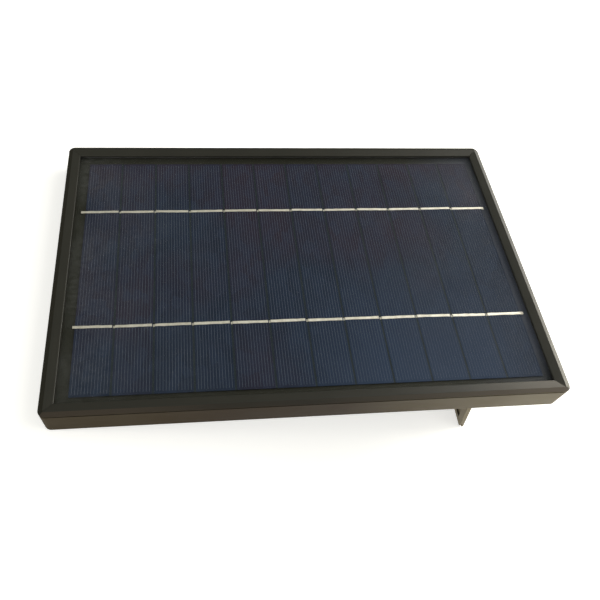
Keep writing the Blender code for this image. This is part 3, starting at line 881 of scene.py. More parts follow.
class Shape:
    """A mesh under construction, in millimetres in its own frame."""

    def __init__(self) -> None:
        """Start with nothing."""
        self.mesh = bmesh.new()

    def loft(self, rings: Sequence[Sequence[Point]], cap: bool = True, closed: bool = False) -> "Shape":
        """Skin rings of points in order; points that coincide become one.

        Args:
            rings: Rings of as many points each.
            cap: Whether the first and last ring are filled.
            closed: Whether the last ring joins the first.

        Returns:
            This shape.
        """
        known: dict[tuple[float, ...], bmesh.types.BMVert] = {}
        hoops = []
        for ring in rings:
            hoop = []
            for point in ring:
                key = tuple(round(value, MERGE_DIGITS) for value in point)
                if key not in known:
                    known[key] = self.mesh.verts.new(point)
                hoop.append(known[key])
            hoops.append(hoop)
        pairs = list(zip(hoops, hoops[1:]))
        if closed:
            pairs.append((hoops[-1], hoops[0]))
        outlines = []
        for lower, upper in pairs:
            for index, start in enumerate(lower):
                following = (index + 1) % len(lower)
                outlines.append((start, lower[following], upper[following], upper[index]))
        if cap and not closed:
            outlines += [hoops[0], hoops[-1]]
        for outline in outlines:
            corners = dict.fromkeys(outline)
            if len(corners) > 2:
                self.mesh.faces.new(corners)
        return self

    def box(self, low: Point, high: Point) -> "Shape":
        """Add a box between two opposite corners."""
        return self.loft([[(x, y, z) for x, y, _ in rectangle(low, high)] for z in (low[2], high[2])])

    def moved(self, at: Point, turn: Matrix = Matrix()) -> "Shape":
        """Turn the shape about its origin and move it from there."""
        bmesh.ops.transform(self.mesh, matrix=Matrix.Translation(Vector(at)) @ turn, verts=self.mesh.verts)
        return self

    def fill_ends(self) -> "Shape":
        """Close the open rings that a loft without caps has left, holes among them.

        Returns:
            This shape.
        """
        ends = [edge for edge in self.mesh.edges if len(edge.link_faces) == 1]
        for sign in (-1, 1):
            group = [edge for edge in ends if sign * edge.verts[0].co.x > 0]
            bmesh.ops.triangle_fill(self.mesh, edges=group, use_beauty=True)
        return self

    def soften(self, width: float, segments: int = 2) -> "Shape":
        """Round the sharp edges.

        Args:
            width: Width of the rounding in millimetres.
            segments: Facets across it.

        Returns:
            This shape.
        """
        mesh = self.mesh
        bmesh.ops.recalc_face_normals(mesh, faces=mesh.faces)
        bmesh.ops.dissolve_limit(mesh, angle_limit=FLAT_ANGLE, verts=mesh.verts, edges=mesh.edges)
        bmesh.ops.bevel(
            mesh,
            geom=[edge for edge in mesh.edges if edge.calc_face_angle(0.0) > BEVEL_ANGLE],
            offset=width,
            offset_type="OFFSET",
            segments=segments,
            profile=0.5,
            affect="EDGES",
            clamp_overlap=True,
        )
        return self

    def mesh_data(self, name: str, scale: float = 1.0) -> bpy.types.Mesh:
        """Turn the shape into mesh data, and free it.

        Args:
            name: The mesh's name.
            scale: Scale of the result.

        Returns:
            The mesh.
        """
        bmesh.ops.recalc_face_normals(self.mesh, faces=self.mesh.faces)
        bmesh.ops.scale(self.mesh, vec=(scale, scale, scale), verts=self.mesh.verts)
        mesh = bpy.data.meshes.new(name)
        self.mesh.to_mesh(mesh)
        self.mesh.free()
        return mesh

    def joined(self, joining: Joining, tools: Sequence["Shape"]) -> "Shape":
        """Combine this shape with others.

        Args:
            joining: Whether the others are added or cut away.
            tools: The other shapes, which are used up.

        Returns:
            The combined shape.
        """
        objects = []
        for shape in (self, *tools):
            made = bpy.data.objects.new("shape", shape.mesh_data("shape"))
            bpy.context.scene.collection.objects.link(made)
            objects.append(made)
        group = bpy.data.collections.new("tools")
        for tool in objects[1:]:
            group.objects.link(tool)
        modifier = objects[0].modifiers.new("joining", "BOOLEAN")
        modifier.operation = joining.value
        modifier.solver = "EXACT"
        modifier.operand_type = "COLLECTION"
        modifier.collection = group
        bpy.context.view_layer.update()
        graph = bpy.context.evaluated_depsgraph_get()
        result = Shape()
        result.mesh.from_mesh(objects[0].evaluated_get(graph).data)
        for helper in objects:
            bpy.data.objects.remove(helper, do_unlink=True)
        bpy.data.collections.remove(group)
        return result

    def piece(
        self,
        name: str,
        place: LocalFrame,
        finish: Finish,
        replaces: Sequence[str] = (),
        offset: Matrix = Matrix(),
        fronts: Sequence[tuple[Vector, float, Finish]] = (),
    ) -> bpy.types.Object:
        """Make the shape into a piece of the panel.

        Args:
            name: The piece's name.
            place: Frame that it is modelled in, and whose body it rides on.
            finish: Its finish.
            replaces: CAD nodes that it stands for.
            offset: Where its own frame lies in the place, in millimetres.
            fronts: Other finishes, each for the faces that lean more than a given share its own way.

        Returns:
            The piece.
        """
        mesh = self.mesh_data(name, MM)
        mesh.shade_smooth()
        mesh.set_sharp_from_angle(angle=SHARP_ANGLE)
        mesh.materials.append(Palette.material(finish))
        for index, (way, tilt, other) in enumerate(fronts, 1):
            mesh.materials.append(Palette.material(other))
            for face in mesh.polygons:
                if face.normal.dot(way) > tilt:
                    face.material_index = index
        made = bpy.data.objects.new(name, mesh)
        bpy.context.scene.collection.objects.link(made)
        world = place.matrix @ Matrix.Translation(offset.translation * MM) @ offset.to_3x3().to_4x4()
        if place.baked:
            mesh.transform(world)
        else:
            made.matrix_world = world
        weighted = made.modifiers.new("even shading", "WEIGHTED_NORMAL")
        weighted.keep_sharp = True
        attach(made, place.body)
        if replaces:
            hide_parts(*replaces)
        return made


def rounded(corners: Sequence[Point], steps: int = 3) -> list[Vector]:
    """Round an outline's corners.

    Args:
        corners: (x, y, radius) of each corner in order.
        steps: Facets in each round corner.

    Returns:
        Points of the rounded outline.
    """
    points = []
    for index, (x, y, radius) in enumerate(corners):
        corner = Vector((x, y))
        if radius == 0:
            points.append(corner)
            continue
        before = Vector(corners[index - 1][:2]) - corner
        after = Vector(corners[(index + 1) % len(corners)][:2]) - corner
        before.normalize()
        after.normalize()
        half = before.angle(after) / 2
        start = corner + before * (radius / math.tan(half))
        end = corner + after * (radius / math.tan(half))
        centre = corner + (before + after).normalized() * (radius / math.sin(half))
        sweep = (start - centre).angle_signed(end - centre)
        for step in range(steps + 1):
            turn = Matrix.Rotation(-sweep * step / steps, 2)
            points.append(centre + turn @ (start - centre))
    return points


def rectangle(low: Point, high: Point, radius: float = 0.0) -> Ring:
    """List a rectangle's corners, anticlockwise, with one radius for all."""
    corners = ((low[0], low[1]), (high[0], low[1]), (high[0], high[1]), (low[0], high[1]))
    return level(corners, radius)


def level(outline: Sequence[Point], height: float) -> Ring:
    """Give every point of an outline the same third value."""
    return [(x, y, height) for x, y in outline]


def slab(outline: Sequence[Point], low: float, high: float) -> Shape:
    """Extrude an outline in x and y between two heights."""
    return Shape().loft([level(outline, low), level(outline, high)])


def polygon(apothem: float, sides: int) -> Outline:
    """List points round a regular polygon, as many as round a circle and at the same angles.

    Args:
        apothem: Distance from the middle to a side.
        sides: How many sides it has.

    Returns:
        The points.
    """
    points = []
    sector = FULL_TURN / sides
    for step in range(CIRCLE_STEPS):
        angle = FULL_TURN * step / CIRCLE_STEPS
        radius = apothem / math.cos(angle % sector - sector / 2)
        points.append((radius * math.cos(angle), radius * math.sin(angle)))
    return points


def circle(radius: float) -> Outline:
    """List the points of a circle about the origin."""
    angles = [FULL_TURN * step / CIRCLE_STEPS for step in range(CIRCLE_STEPS)]
    return [(radius * math.cos(angle), radius * math.sin(angle)) for angle in angles]


def turned(profile: Sequence[Point], closed: bool = False) -> Shape:
    """Turn (radius, height) points about the z axis; a closed profile is a ring's section."""
    return Shape().loft([level(circle(radius), height) for radius, height in profile], closed=closed)


@dataclass
class SubAssembly:
    """A group of pieces that is modelled in one frame."""

    place: LocalFrame

    def build(self) -> Iterator[bpy.types.Object]:
        """Make or dress each piece in turn."""
        raise NotImplementedError


@dataclass
class FrameRails(SubAssembly):
    """Four mitred rails of one extruded section, and the keys and seal inside them."""

    wall: float = 1.3
    shoulder_reach: float = 2.4
    shoulder_drop: float = 0.6
    seam_land: float = 0.4
    seam_height: float = 0.9
    seam_depth: float = 0.8
    channel_reach: float = 1.65
    lip_reach: float = 7.0
    lip_fall: float = 1.0
    box_width: float = 9.0
    rear_round: float = 0.35
    inner_round: float = 0.3
    lip_round: float = 0.55
    crest_round: float = 0.5
    edge_round: float = 0.15
    seam_round: float = 0.08
    corner_radius: float = 3.6
    corner_steps: int = 5
    mitre_gap: float = 0.12
    pivot_hole: float = 2.25
    stop_hole: float = 1.5
    size: Vector = field(init=False)

    def __post_init__(self) -> None:
        """Measure the frame's outer size on the CAD rails."""
        near = self.place.span("frame_rail_near")
        right = self.place.span("frame_rail_right")
        self.size = Vector((2 * right[1].x, -2 * near[0].y, near[1].z))

    def section(self) -> tuple[list[Vector], list[Vector]]:
        """Draw the rail's section.

        Returns:
            The outline and the hollow chamber, as points (reach inwards, height).
        """
        height = self.size.z
        lip = self.place.span("front_sheet")[1].z + GAP
        shelf = self.place.span("backboard")[0].z - GAP
        channel = self.channel_reach
        shoulder = height - self.shoulder_drop
        seam_top = shoulder - self.seam_land
        seam_low = seam_top - self.seam_height
        outline = [
            (0.0, 0.0, self.rear_round),
            (self.box_width, 0.0, self.rear_round),
            (self.box_width, shelf, self.inner_round),
            (channel, shelf, 0.0),
            (channel, lip, 0.0),
            (self.lip_reach, lip, self.edge_round),
            (self.lip_reach, height - self.lip_fall, self.lip_round),
            (self.shoulder_reach, height, self.crest_round),
            (0.0, shoulder, self.edge_round),
            (0.0, seam_top, self.seam_round),
            (self.seam_depth, seam_top, 0.0),
            (self.seam_depth, seam_low, 0.0),
            (0.0, seam_low, self.seam_round),
        ]
        chamber_high = (self.box_width - self.wall, shelf - self.wall)
        chamber = rectangle((channel, self.wall), chamber_high, self.inner_round)
        return rounded(outline), rounded(chamber)

    def end_point(self, run: float, reach: float, turn: float) -> tuple[float, float]:
        """Place a section point beside a rail's mitred end.

        Args:
            run: The rail's outer length.
            reach: The point's distance inwards.
            turn: Angle round the frame's corner, from 0 to an eighth of a turn at the mitre.

        Returns:
            Its distance from the rail's middle, and inwards from the outermost face.
        """
        mitre = self.mitre_gap / 2 * math.sqrt(2.0)
        radius = self.corner_radius - reach
        if radius <= 0:
            return run / 2 - reach - mitre, reach
        along = run / 2 - self.corner_radius + radius * math.sin(turn)
        if turn == EIGHTH_TURN:
            along -= mitre
        return along, self.corner_radius - radius * math.cos(turn)

    def rail(self, run: float) -> Shape:
        """Sweep the section along a rail.

        Args:
            run: The rail's outer length.

        Returns:
            The rail, with its x axis along it.
        """
        turns = [EIGHTH_TURN * step / self.corner_steps for step in range(self.corner_steps + 1)]
        stations = [(-1, turn) for turn in reversed(turns)] + [(1, turn) for turn in turns]
        shape = Shape()
        for loop in self.section():
            rings = []
            for sign, turn in stations:
                ring = []
                for reach, height in loop:
                    along, inward = self.end_point(run, reach, turn)
                    ring.append((sign * along, inward, height))
                rings.append(ring)
            shape.loft(rings, cap=False)
        return shape.fill_ends()

    def pivot_drills(self, side: Side) -> list[Shape]:
        """Make the cutters for the pivot and stop holes in a long rail's inner wall.

        Args:
            side: The rail's side.

        Returns:
            The cutters.
        """
        sign = 1 if side is Side.NEAR else -1
        inner = self.box_width - self.wall
        quarter = Matrix.Rotation(-QUARTER_TURN, 4, "X")
        cutters = []
        for node, radius in (("pivot_screw", self.pivot_hole), ("stop_pin", self.stop_hole)):
            middle = self.place.middle(f"{node}_{side.label}")
            at = (sign * middle.x, inner - self.wall / 2, middle.z)
            cutters.append(turned([(radius, 0.0), (radius, 2 * self.wall)]).moved(at, quarter))
        return cutters

    @staticmethod
    def outer_finishes(side: Side) -> list[tuple[Vector, float, Finish]]:
        """Choose the finishes of a rail's outer side: painted light and shade near, painted highlight right, dull
        elsewhere.

        Args:
            side: The rail's side.

        Returns:
            The way, the tilt and the finish of each.
        """
        if side is Side.NEAR:
            return [(OUTWARD, SHOULDER_TILT, Palette.side_coat), (OUTWARD, WALL_TILT, Palette.wall_coat)]
        coat = Palette.right_side_coat if side is Side.RIGHT else Palette.edge_coat
        return [(OUTWARD, SHOULDER_TILT, coat)]

    def build(self) -> Iterator[bpy.types.Object]:
        """Make the four rails and dress the hidden keys and seal.

        Yields:
            Each piece.
        """
        for side in Side:
            run, reach = (self.size.x, self.size.y) if side.is_long else (self.size.y, self.size.x)
            shape = self.rail(run)
            if side.is_long:
                shape = shape.joined(Joining.CUT, self.pivot_drills(side))
            turn = Matrix.Rotation(side.value * QUARTER_TURN, 4, "Z")
            offset = turn @ Matrix.Translation((0.0, -reach / 2, 0.0))
            coat = Palette.near_coat if side is Side.NEAR else Palette.coat
            node = f"frame_rail_{side.label}"
            fronts = self.outer_finishes(side)
            yield shape.piece(f"rail_{side.label}", self.place, coat, [node], offset, fronts)
        for number in CORNERS:
            yield Palette.dress(f"corner_key_{number}", Palette.steel)
        yield Palette.dress("edge_seal", Palette.rubber)


@dataclass(frozen=True)
class RibbonRow:
    """A row of ribbons: its place as a share of the strips' length, and how far it runs out at its ends."""

    name: str
    share: float
    left_run: float
    right_run: float


@dataclass
class CellArray(SubAssembly):
    """Twelve tabbed cell strips between the board and the clear sheet."""

    count: int = 12
    cell_gap: float = 1.05
    wafer_thickness: float = 0.3
    wafer_corner: float = 0.4
    wafer_edge: float = 0.05
    rows: tuple[RibbonRow, ...] = (RibbonRow("near", -0.25, 1.2, 1.9), RibbonRow("far", 0.25, 2.6, 1.4))
    ribbon_thickness: float = 0.2
    ribbon_width: float = 1.55
    ribbon_setback: float = 0.5
    ribbon_tail: float = 3.0
    ribbon_dip: float = 0.21
    ribbon_stations: int = 9
    ribbon_skew: float = 0.3
    ribbon_drift: float = 0.18
    ribbon_wobble: float = 0.05
    ribbon_swell: Span = (-0.1, 0.08)
    ribbon_edge: float = 0.06
    crown_share: float = 0.6
    solder_level: float = 0.8
    solder_swell: Span = (-0.12, 0.15)
    finger_pitch: float = 1.55
    finger_width: float = 0.17
    finger_height: float = 0.03
    finger_margin: float = 1.3
    film_drop: float = 0.08
    film_slack: float = 0.03
    film_clearance: float = 0.3
    pitch: float = field(init=False)
    low: Vector = field(init=False)
    high: Vector = field(init=False)

    def __post_init__(self) -> None:
        """Measure the array on the CAD cells."""
        spans = [self.place.span(self.node(number)) for number in range(1, self.count + 1)]
        self.pitch = (spans[-1][1].x - spans[0][1].x) / (self.count - 1)
        self.high = spans[-1][1]
        self.low = Vector((spans[0][1].x - self.width, spans[0][0].y, spans[0][0].z))

    @staticmethod
    def node(number: int) -> str:
        """Name the CAD node of a cell."""
        return f"cell_{number:02d}"

    @property
    def width(self) -> float:
        """Width of one strip."""
        return self.pitch - self.cell_gap

    @property
    def top(self) -> float:
        """Height of the wafers' front face."""
        return self.high.z - self.ribbon_thickness

    def row_middle(self, row: RibbonRow) -> float:
        """Find the middle of a ribbon row across the panel."""
        return (self.low.y + self.high.y) / 2 + row.share * (self.high.y - self.low.y)

    def wafer(self, left: float) -> Shape:
        """Model one wafer, from its left edge."""
        outline = rounded(rectangle((left, self.low.y), (left + self.width, self.high.y), self.wafer_corner))
        return slab(outline, self.top - self.wafer_thickness, self.top).soften(self.wafer_edge, 1)

    def fingers(self, left: float) -> Shape:
        """Model one wafer's silver finger lines, which run along the strip.

        Args:
            left: The wafer's left edge.

        Returns:
            The fingers.
        """
        shape = Shape()
        number = int((self.width - self.finger_pitch / 2) / self.finger_pitch)
        first = left + (self.width - (number - 1) * self.finger_pitch) / 2
        half = self.finger_width / 2
        base, crest = self.top - self.finger_height, self.top + self.finger_height
        ends = (self.low.y + self.finger_margin, self.high.y - self.finger_margin)
        for line in range(number):
            middle = first + line * self.finger_pitch
            section = [
                (middle - half, base),
                (middle - half / 2, crest),
                (middle + half / 2, crest),
                (middle + half, base),
            ]
            shape.loft([[(x, y, z) for x, z in section] for y in ends])
        return shape

    def ribbon(self, start: float, end: float, middle: float, dips: bool, chance: random.Random) -> Shape:
        """Model one soldered ribbon, a little crooked, that lies on its wafer.

        Args:
            start: Its left end.
            end: Its right end.
            middle: Its row's place across the panel.
            dips: Whether its left end goes down under the neighbour.
            chance: Source of its small irregularities.

        Returns:
            The ribbon.
        """
        skew = chance.uniform(-self.ribbon_skew, self.ribbon_skew)
        drift = chance.uniform(-self.ribbon_drift, self.ribbon_drift)
        stations = []
        for step in range(self.ribbon_stations):
            share = step / (self.ribbon_stations - 1)
            wobble = chance.uniform(-self.ribbon_wobble, self.ribbon_wobble)
            half = self.ribbon_width / 2 * (1 + chance.uniform(*self.ribbon_swell))
            crown = self.ribbon_thickness * (self.solder_level + chance.uniform(*self.solder_swell))
            y = middle + drift + skew * (share - 0.5) + wobble
            stations.append((start + (end - start) * share, y, half, self.top + crown))
        if dips:
            x, y, half, _ = stations[0]
            under = self.low.z + self.ribbon_thickness
            tail = [(x - reach, y, half, under) for reach in (self.ribbon_tail, self.ribbon_dip)]
            stations = tail + stations
        rings = []
        for x, y, half, crown in stations:
            base, edge = crown - self.ribbon_thickness, crown - self.ribbon_edge
            inner = half * self.crown_share
            near_side = [(x, y - half, base), (x, y - half, edge), (x, y - inner, crown)]
            far_side = [(x, y + inner, crown), (x, y + half, edge), (x, y + half, base)]
            rings.append(near_side + far_side)
        return Shape().loft(rings)

    def film(self) -> Shape:
        """Model the bond film between the strips, left open where the ribbons go through.

        Returns:
            The film.
        """
        shape = Shape()
        margin = self.ribbon_width / 2 + self.film_clearance
        edges = [self.low.y]
        for row in self.rows:
            middle = self.row_middle(row)
            edges += [middle - margin, middle + margin]
        edges.append(self.high.y)
        bottom, top = self.top - self.wafer_thickness, self.top - self.film_drop
        for number in range(1, self.count):
            right = self.low.x + number * self.pitch
            left = right - self.cell_gap
            for near, far in zip(edges[::2], edges[1::2]):
                shape.box((left + self.film_slack, near, bottom), (right - self.film_slack, far, top))
        return shape

    def build(self) -> Iterator[bpy.types.Object]:
        """Make the wafers, their fingers and their ribbons, and dress the layers round them.

        Yields:
            Each piece.
        """
        chance = random.Random(SEED)
        silicon = Silicon(
            "polycrystalline silicon",
            "silicon",
            first_edge=self.low.x,
            pitch=self.pitch,
            half_length=(self.high.y - self.low.y) / 2,
        )
        for number in range(1, self.count + 1):
            left = self.low.x + (number - 1) * self.pitch
            right = left + self.width
            yield self.wafer(left).piece(f"wafer_{number:02d}", self.place, silicon, [self.node(number)])
            yield self.fingers(left).piece(f"fingers_{number:02d}", self.place, Palette.paste)
            for row in self.rows:
                start = left - row.left_run if number == 1 else left
                end = right + row.right_run if number == self.count else right - self.ribbon_setback
                shape = self.ribbon(start, end, self.row_middle(row), number > 1, chance)
                yield shape.piece(f"ribbon_{row.name}_{number:02d}", self.place, Palette.solder)
        yield self.film().piece("bond_film", self.place, Palette.film)
        yield Palette.dress("front_sheet", Palette.sheet)
        yield Palette.dress("backboard", Palette.board)
        for node in ("end_tab_near", "end_tab_far", "lead_negative", "lead_positive"):
            yield Palette.dress(node, Palette.solder)


@dataclass
class SupportLeg(SubAssembly):
    """Hemmed sheet leg with two pivot ears, whose round ends reach as far out as its plate."""

    sheet: float = 1.2
    hem_width: float = 5.0
    hem_relief: float = 0.35
    tip_notch: float = 1.0
    ear_length: float = 18.0
    ear_taper: float = 9.0
    ear_hole: float = 3.15
    ear_steps: int = 16
    edge: float = 0.22
    outer: float = field(init=False)
    half: float = field(init=False)
    foot: float = field(init=False)

    def __post_init__(self) -> None:
        """Measure the leg on its CAD node."""
        low, high = self.place.span("support_leg")
        self.outer, self.half, self.foot = high.x, high.y, low.z

    @property
    def inner(self) -> float:
        """Inner face of the plate."""
        return self.outer - self.sheet

    @property
    def hem(self) -> float:
        """Inner face of the hems, which are folded back onto the plate."""
        return self.inner - self.sheet

    def ear(self, low: float, high: float) -> Shape:
        """Model an ear: half a circle about the pivot, and a taper down to the hem.

        Args:
            low: Its near face.
            high: Its far face.

        Returns:
            The ear.
        """
        turns = [math.pi * step / self.ear_steps for step in range(self.ear_steps + 1)]
        outline = [(self.outer * math.cos(turn), self.outer * math.sin(turn)) for turn in turns]
        bottom = -self.ear_length
        outline += [(-self.outer, bottom + self.ear_taper), (self.hem, bottom), (self.outer, bottom)]
        return Shape().loft([[(x, y, z) for x, z in outline] for y in (low, high)])

    def folds(self) -> list[Shape]:
        """Model what is joined to the plate: the ears, the side hems and corners, and the foot's hem.

        Returns:
            The shapes.
        """
        hem_start = self.foot + self.hem_width + self.hem_relief
        hem_end = self.sheet - self.ear_length
        shapes = []
        for side in (-1, 1):
            shapes.append(self.ear(*sorted((side * self.half, side * (self.half - self.sheet)))))
            near, far = sorted((side * self.half, side * (self.half - self.hem_width)))
            shapes.append(Shape().box((self.hem, near, hem_start), (self.outer, far, hem_end)))
            corner = hem_start + self.sheet
            shapes.append(Shape().box((self.inner, near, self.foot), (self.outer, far, corner)))
        tip = self.half - self.tip_notch
        shapes.append(Shape().box((self.hem, -tip, self.foot), (self.outer, tip, self.foot + self.hem_width)))
        return shapes

    def build(self) -> Iterator[bpy.types.Object]:
        """Make the leg from its plate, hems and ears.

        Yields:
            The leg.
        """
        side = self.half - self.sheet / 2
        plate = Shape().box((self.inner, -side, self.foot + self.sheet / 2), (self.outer, side, 0.0))
        reach = self.half + OVERCUT
        bore = turned([(self.ear_hole, -reach), (self.ear_hole, reach)])
        bore.moved((0.0, 0.0, 0.0), Matrix.Rotation(QUARTER_TURN, 4, "X"))
        shape = plate.joined(Joining.ADD, self.folds()).joined(Joining.CUT, [bore]).soften(self.edge)
        # The inner and near faces take the paler coat, which is painted bounce light.
        fronts = [(way, WALL_TILT, Palette.leg_painted_light) for way in (INWARD, OUTWARD)]
        yield shape.piece("leg_sheet", self.place, Palette.leg_coat, ["support_leg"], fronts=fronts)


@dataclass
class PivotSets(SubAssembly):
    """Screw, captive nut, washer, bush and stop pin on each side of the leg.

    Heights along an axis count from the rail's inner face towards the middle of the panel. The dome
    of the pin is given as shares of its radius, with distances from its end.
    """

    shank: float = 1.95
    shank_end: float = -4.8
    lead_in: float = 0.35
    lead_height: float = 0.3
    thread_pitch: float = 0.7
    thread_depth: float = 0.22
    head_radius: float = 3.675
    head_start: float = 6.2
    head_end: float = 8.6
    rim_height: float = 0.6
    dome_turn: float = 0.72 * QUARTER_TURN
    dome_pull: float = 1.1
    dome_steps: int = 5
    socket: float = 1.65
    socket_depth: float = 1.2
    socket_point: float = 0.3
    bore: float = 2.25
    washer_start: float = 5.1
    washer_end: float = 5.9
    washer_edge: float = 0.12
    washer_steps: int = 2
    flange_radius: float = 4.875
    flange_start: float = 0.3
    flange_end: float = 3.0
    groove_depth: float = 0.3
    groove_floor: float = 0.15
    groove_mouth: float = 0.35
    spigot_radius: float = 2.85
    spigot_end: float = 4.8
    pin_radius: float = 1.6
    pin_shank: float = 1.2
    pin_start: float = -1.3
    pin_end: float = 4.5
    pin_dome: Profile = ((1.0, 0.6), (0.9, 0.3), (0.65, 0.08), (0.3, 0.0), (0.0, 0.0))
    fine_break: float = 0.1
    rim_break: float = 0.15
    tip_break: float = 0.2
    edge_break: float = 0.25

    def axis(self, node: str, side: Side) -> Matrix:
        """Find the axis of a CAD node of one side.

        Args:
            node: The node's name without its side.
            side: The rail that it is on.

        Returns:
            A frame on the rail's inner face, with z towards the middle of the panel.
        """
        middle = self.place.middle(f"{node}_{side.label}")
        low, high = self.place.span(f"frame_rail_{side.label}")
        face, turn = (high.y, -QUARTER_TURN) if side is Side.NEAR else (low.y, QUARTER_TURN)
        return Matrix.Translation((middle.x, face, middle.z)) @ Matrix.Rotation(turn, 4, "X")

    def thread(self) -> Outline:
        """Draw the screw's threaded end.

        Returns:
            Points (radius, height) from its tip up.
        """
        profile = [(0.0, self.shank_end), (self.shank - self.lead_in, self.shank_end)]
        height = self.shank_end + self.lead_height
        while height < 0.0:
            profile.append((self.shank, height))
            profile.append((self.shank - self.thread_depth, height + self.thread_pitch / 2))
            height += self.thread_pitch
        return profile + [(self.shank, height)]

    def head(self) -> Outline:
        """Draw the screw's button head.

        Returns:
            Points (radius, height) from the shank round to the socket's rim.
        """
        rim = self.head_start + self.rim_height
        rise = self.head_end - rim
        profile = [(self.shank, self.head_start), (self.head_radius - self.rim_break, self.head_start)]
        for step in range(self.dome_steps + 1):
            turn = self.dome_turn * step / self.dome_steps
            radius = self.head_radius - rise * (1 - math.cos(turn)) * self.dome_pull
            profile.append((radius, rim + rise * math.sin(turn) / math.sin(self.dome_turn)))
        return profile

    def screw(self) -> Shape:
        """Model a button-head screw with a hexagon socket and a threaded shank.

        Returns:
            The screw.
        """
        rings = [level(circle(radius), height) for radius, height in self.thread() + self.head()]
        floor = self.head_end - self.socket_depth
        rings += [level(polygon(self.socket, HEXAGON), height) for height in (self.head_end, floor)]
        rings.append([(0.0, 0.0, floor - self.socket_point)] * CIRCLE_STEPS)
        return Shape().loft(rings)

    def washer(self) -> Shape:
        """Model a washer with broken edges."""
        low, high = (self.bore, self.washer_start), (self.head_radius, self.washer_end)
        return turned(rounded(rectangle(low, high, self.washer_edge), self.washer_steps), closed=True)

    def bush(self) -> Shape:
        """Model a flanged bush with a groove round its flange.

        Returns:
            The bush.
        """
        low, high, end = self.flange_start, self.flange_end, self.spigot_end
        bore, rim, spigot = self.bore, self.flange_radius, self.spigot_radius
        middle = (low + high) / 2
        groove = rim - self.groove_depth
        profile = [
            (bore, low + self.fine_break),
            (bore + self.fine_break, low),
            (rim - self.edge_break, low),
            (rim, low + self.edge_break),
            (rim, middle - self.groove_mouth),
            (groove, middle - self.groove_floor),
            (groove, middle + self.groove_floor),
            (rim, middle + self.groove_mouth),
            (rim, high - self.edge_break),
            (rim - self.edge_break, high),
            (spigot + self.fine_break, high),
            (spigot, high + self.fine_break),
            (spigot, end - self.tip_break),
            (spigot - self.tip_break, end),
            (bore + self.fine_break, end),
            (bore, end - self.fine_break),
        ]
        return turned(profile, closed=True)

    def pin(self) -> Shape:
        """Model a shouldered stop pin with a domed end.

        Returns:
            The pin.
        """
        profile = [
            (0.0, self.pin_start),
            (self.pin_shank - self.edge_break, self.pin_start),
            (self.pin_shank, self.pin_start + self.edge_break),
            (self.pin_shank, self.flange_start),
            (self.pin_radius - self.rim_break, self.flange_start),
            (self.pin_radius, self.flange_start + self.rim_break),
        ]
        profile += [(self.pin_radius * share, self.pin_end - drop) for share, drop in self.pin_dome]
        return turned(profile)

    def build(self) -> Iterator[bpy.types.Object]:
        """Make the hardware on both long rails; the nuts stay hidden in the rails' chambers.

        Yields:
            Each piece.
        """
        for side in (Side.NEAR, Side.FAR):
            parts = (
                ("screw", self.screw(), Palette.steel, "pivot_screw"),
                ("washer", self.washer(), Palette.steel, "pivot_washer"),
                ("bush", self.bush(), Palette.nylon, "pivot_bush"),
                ("pin", self.pin(), Palette.steel, "stop_pin"),
            )
            for name, shape, finish, node in parts:
                offset = self.axis(node, side)
                replaced = [f"{node}_{side.label}"]
                yield shape.piece(f"{name}_{side.label}", self.place, finish, replaced, offset)
            yield Palette.dress(f"pivot_nut_{side.label}", Palette.steel)


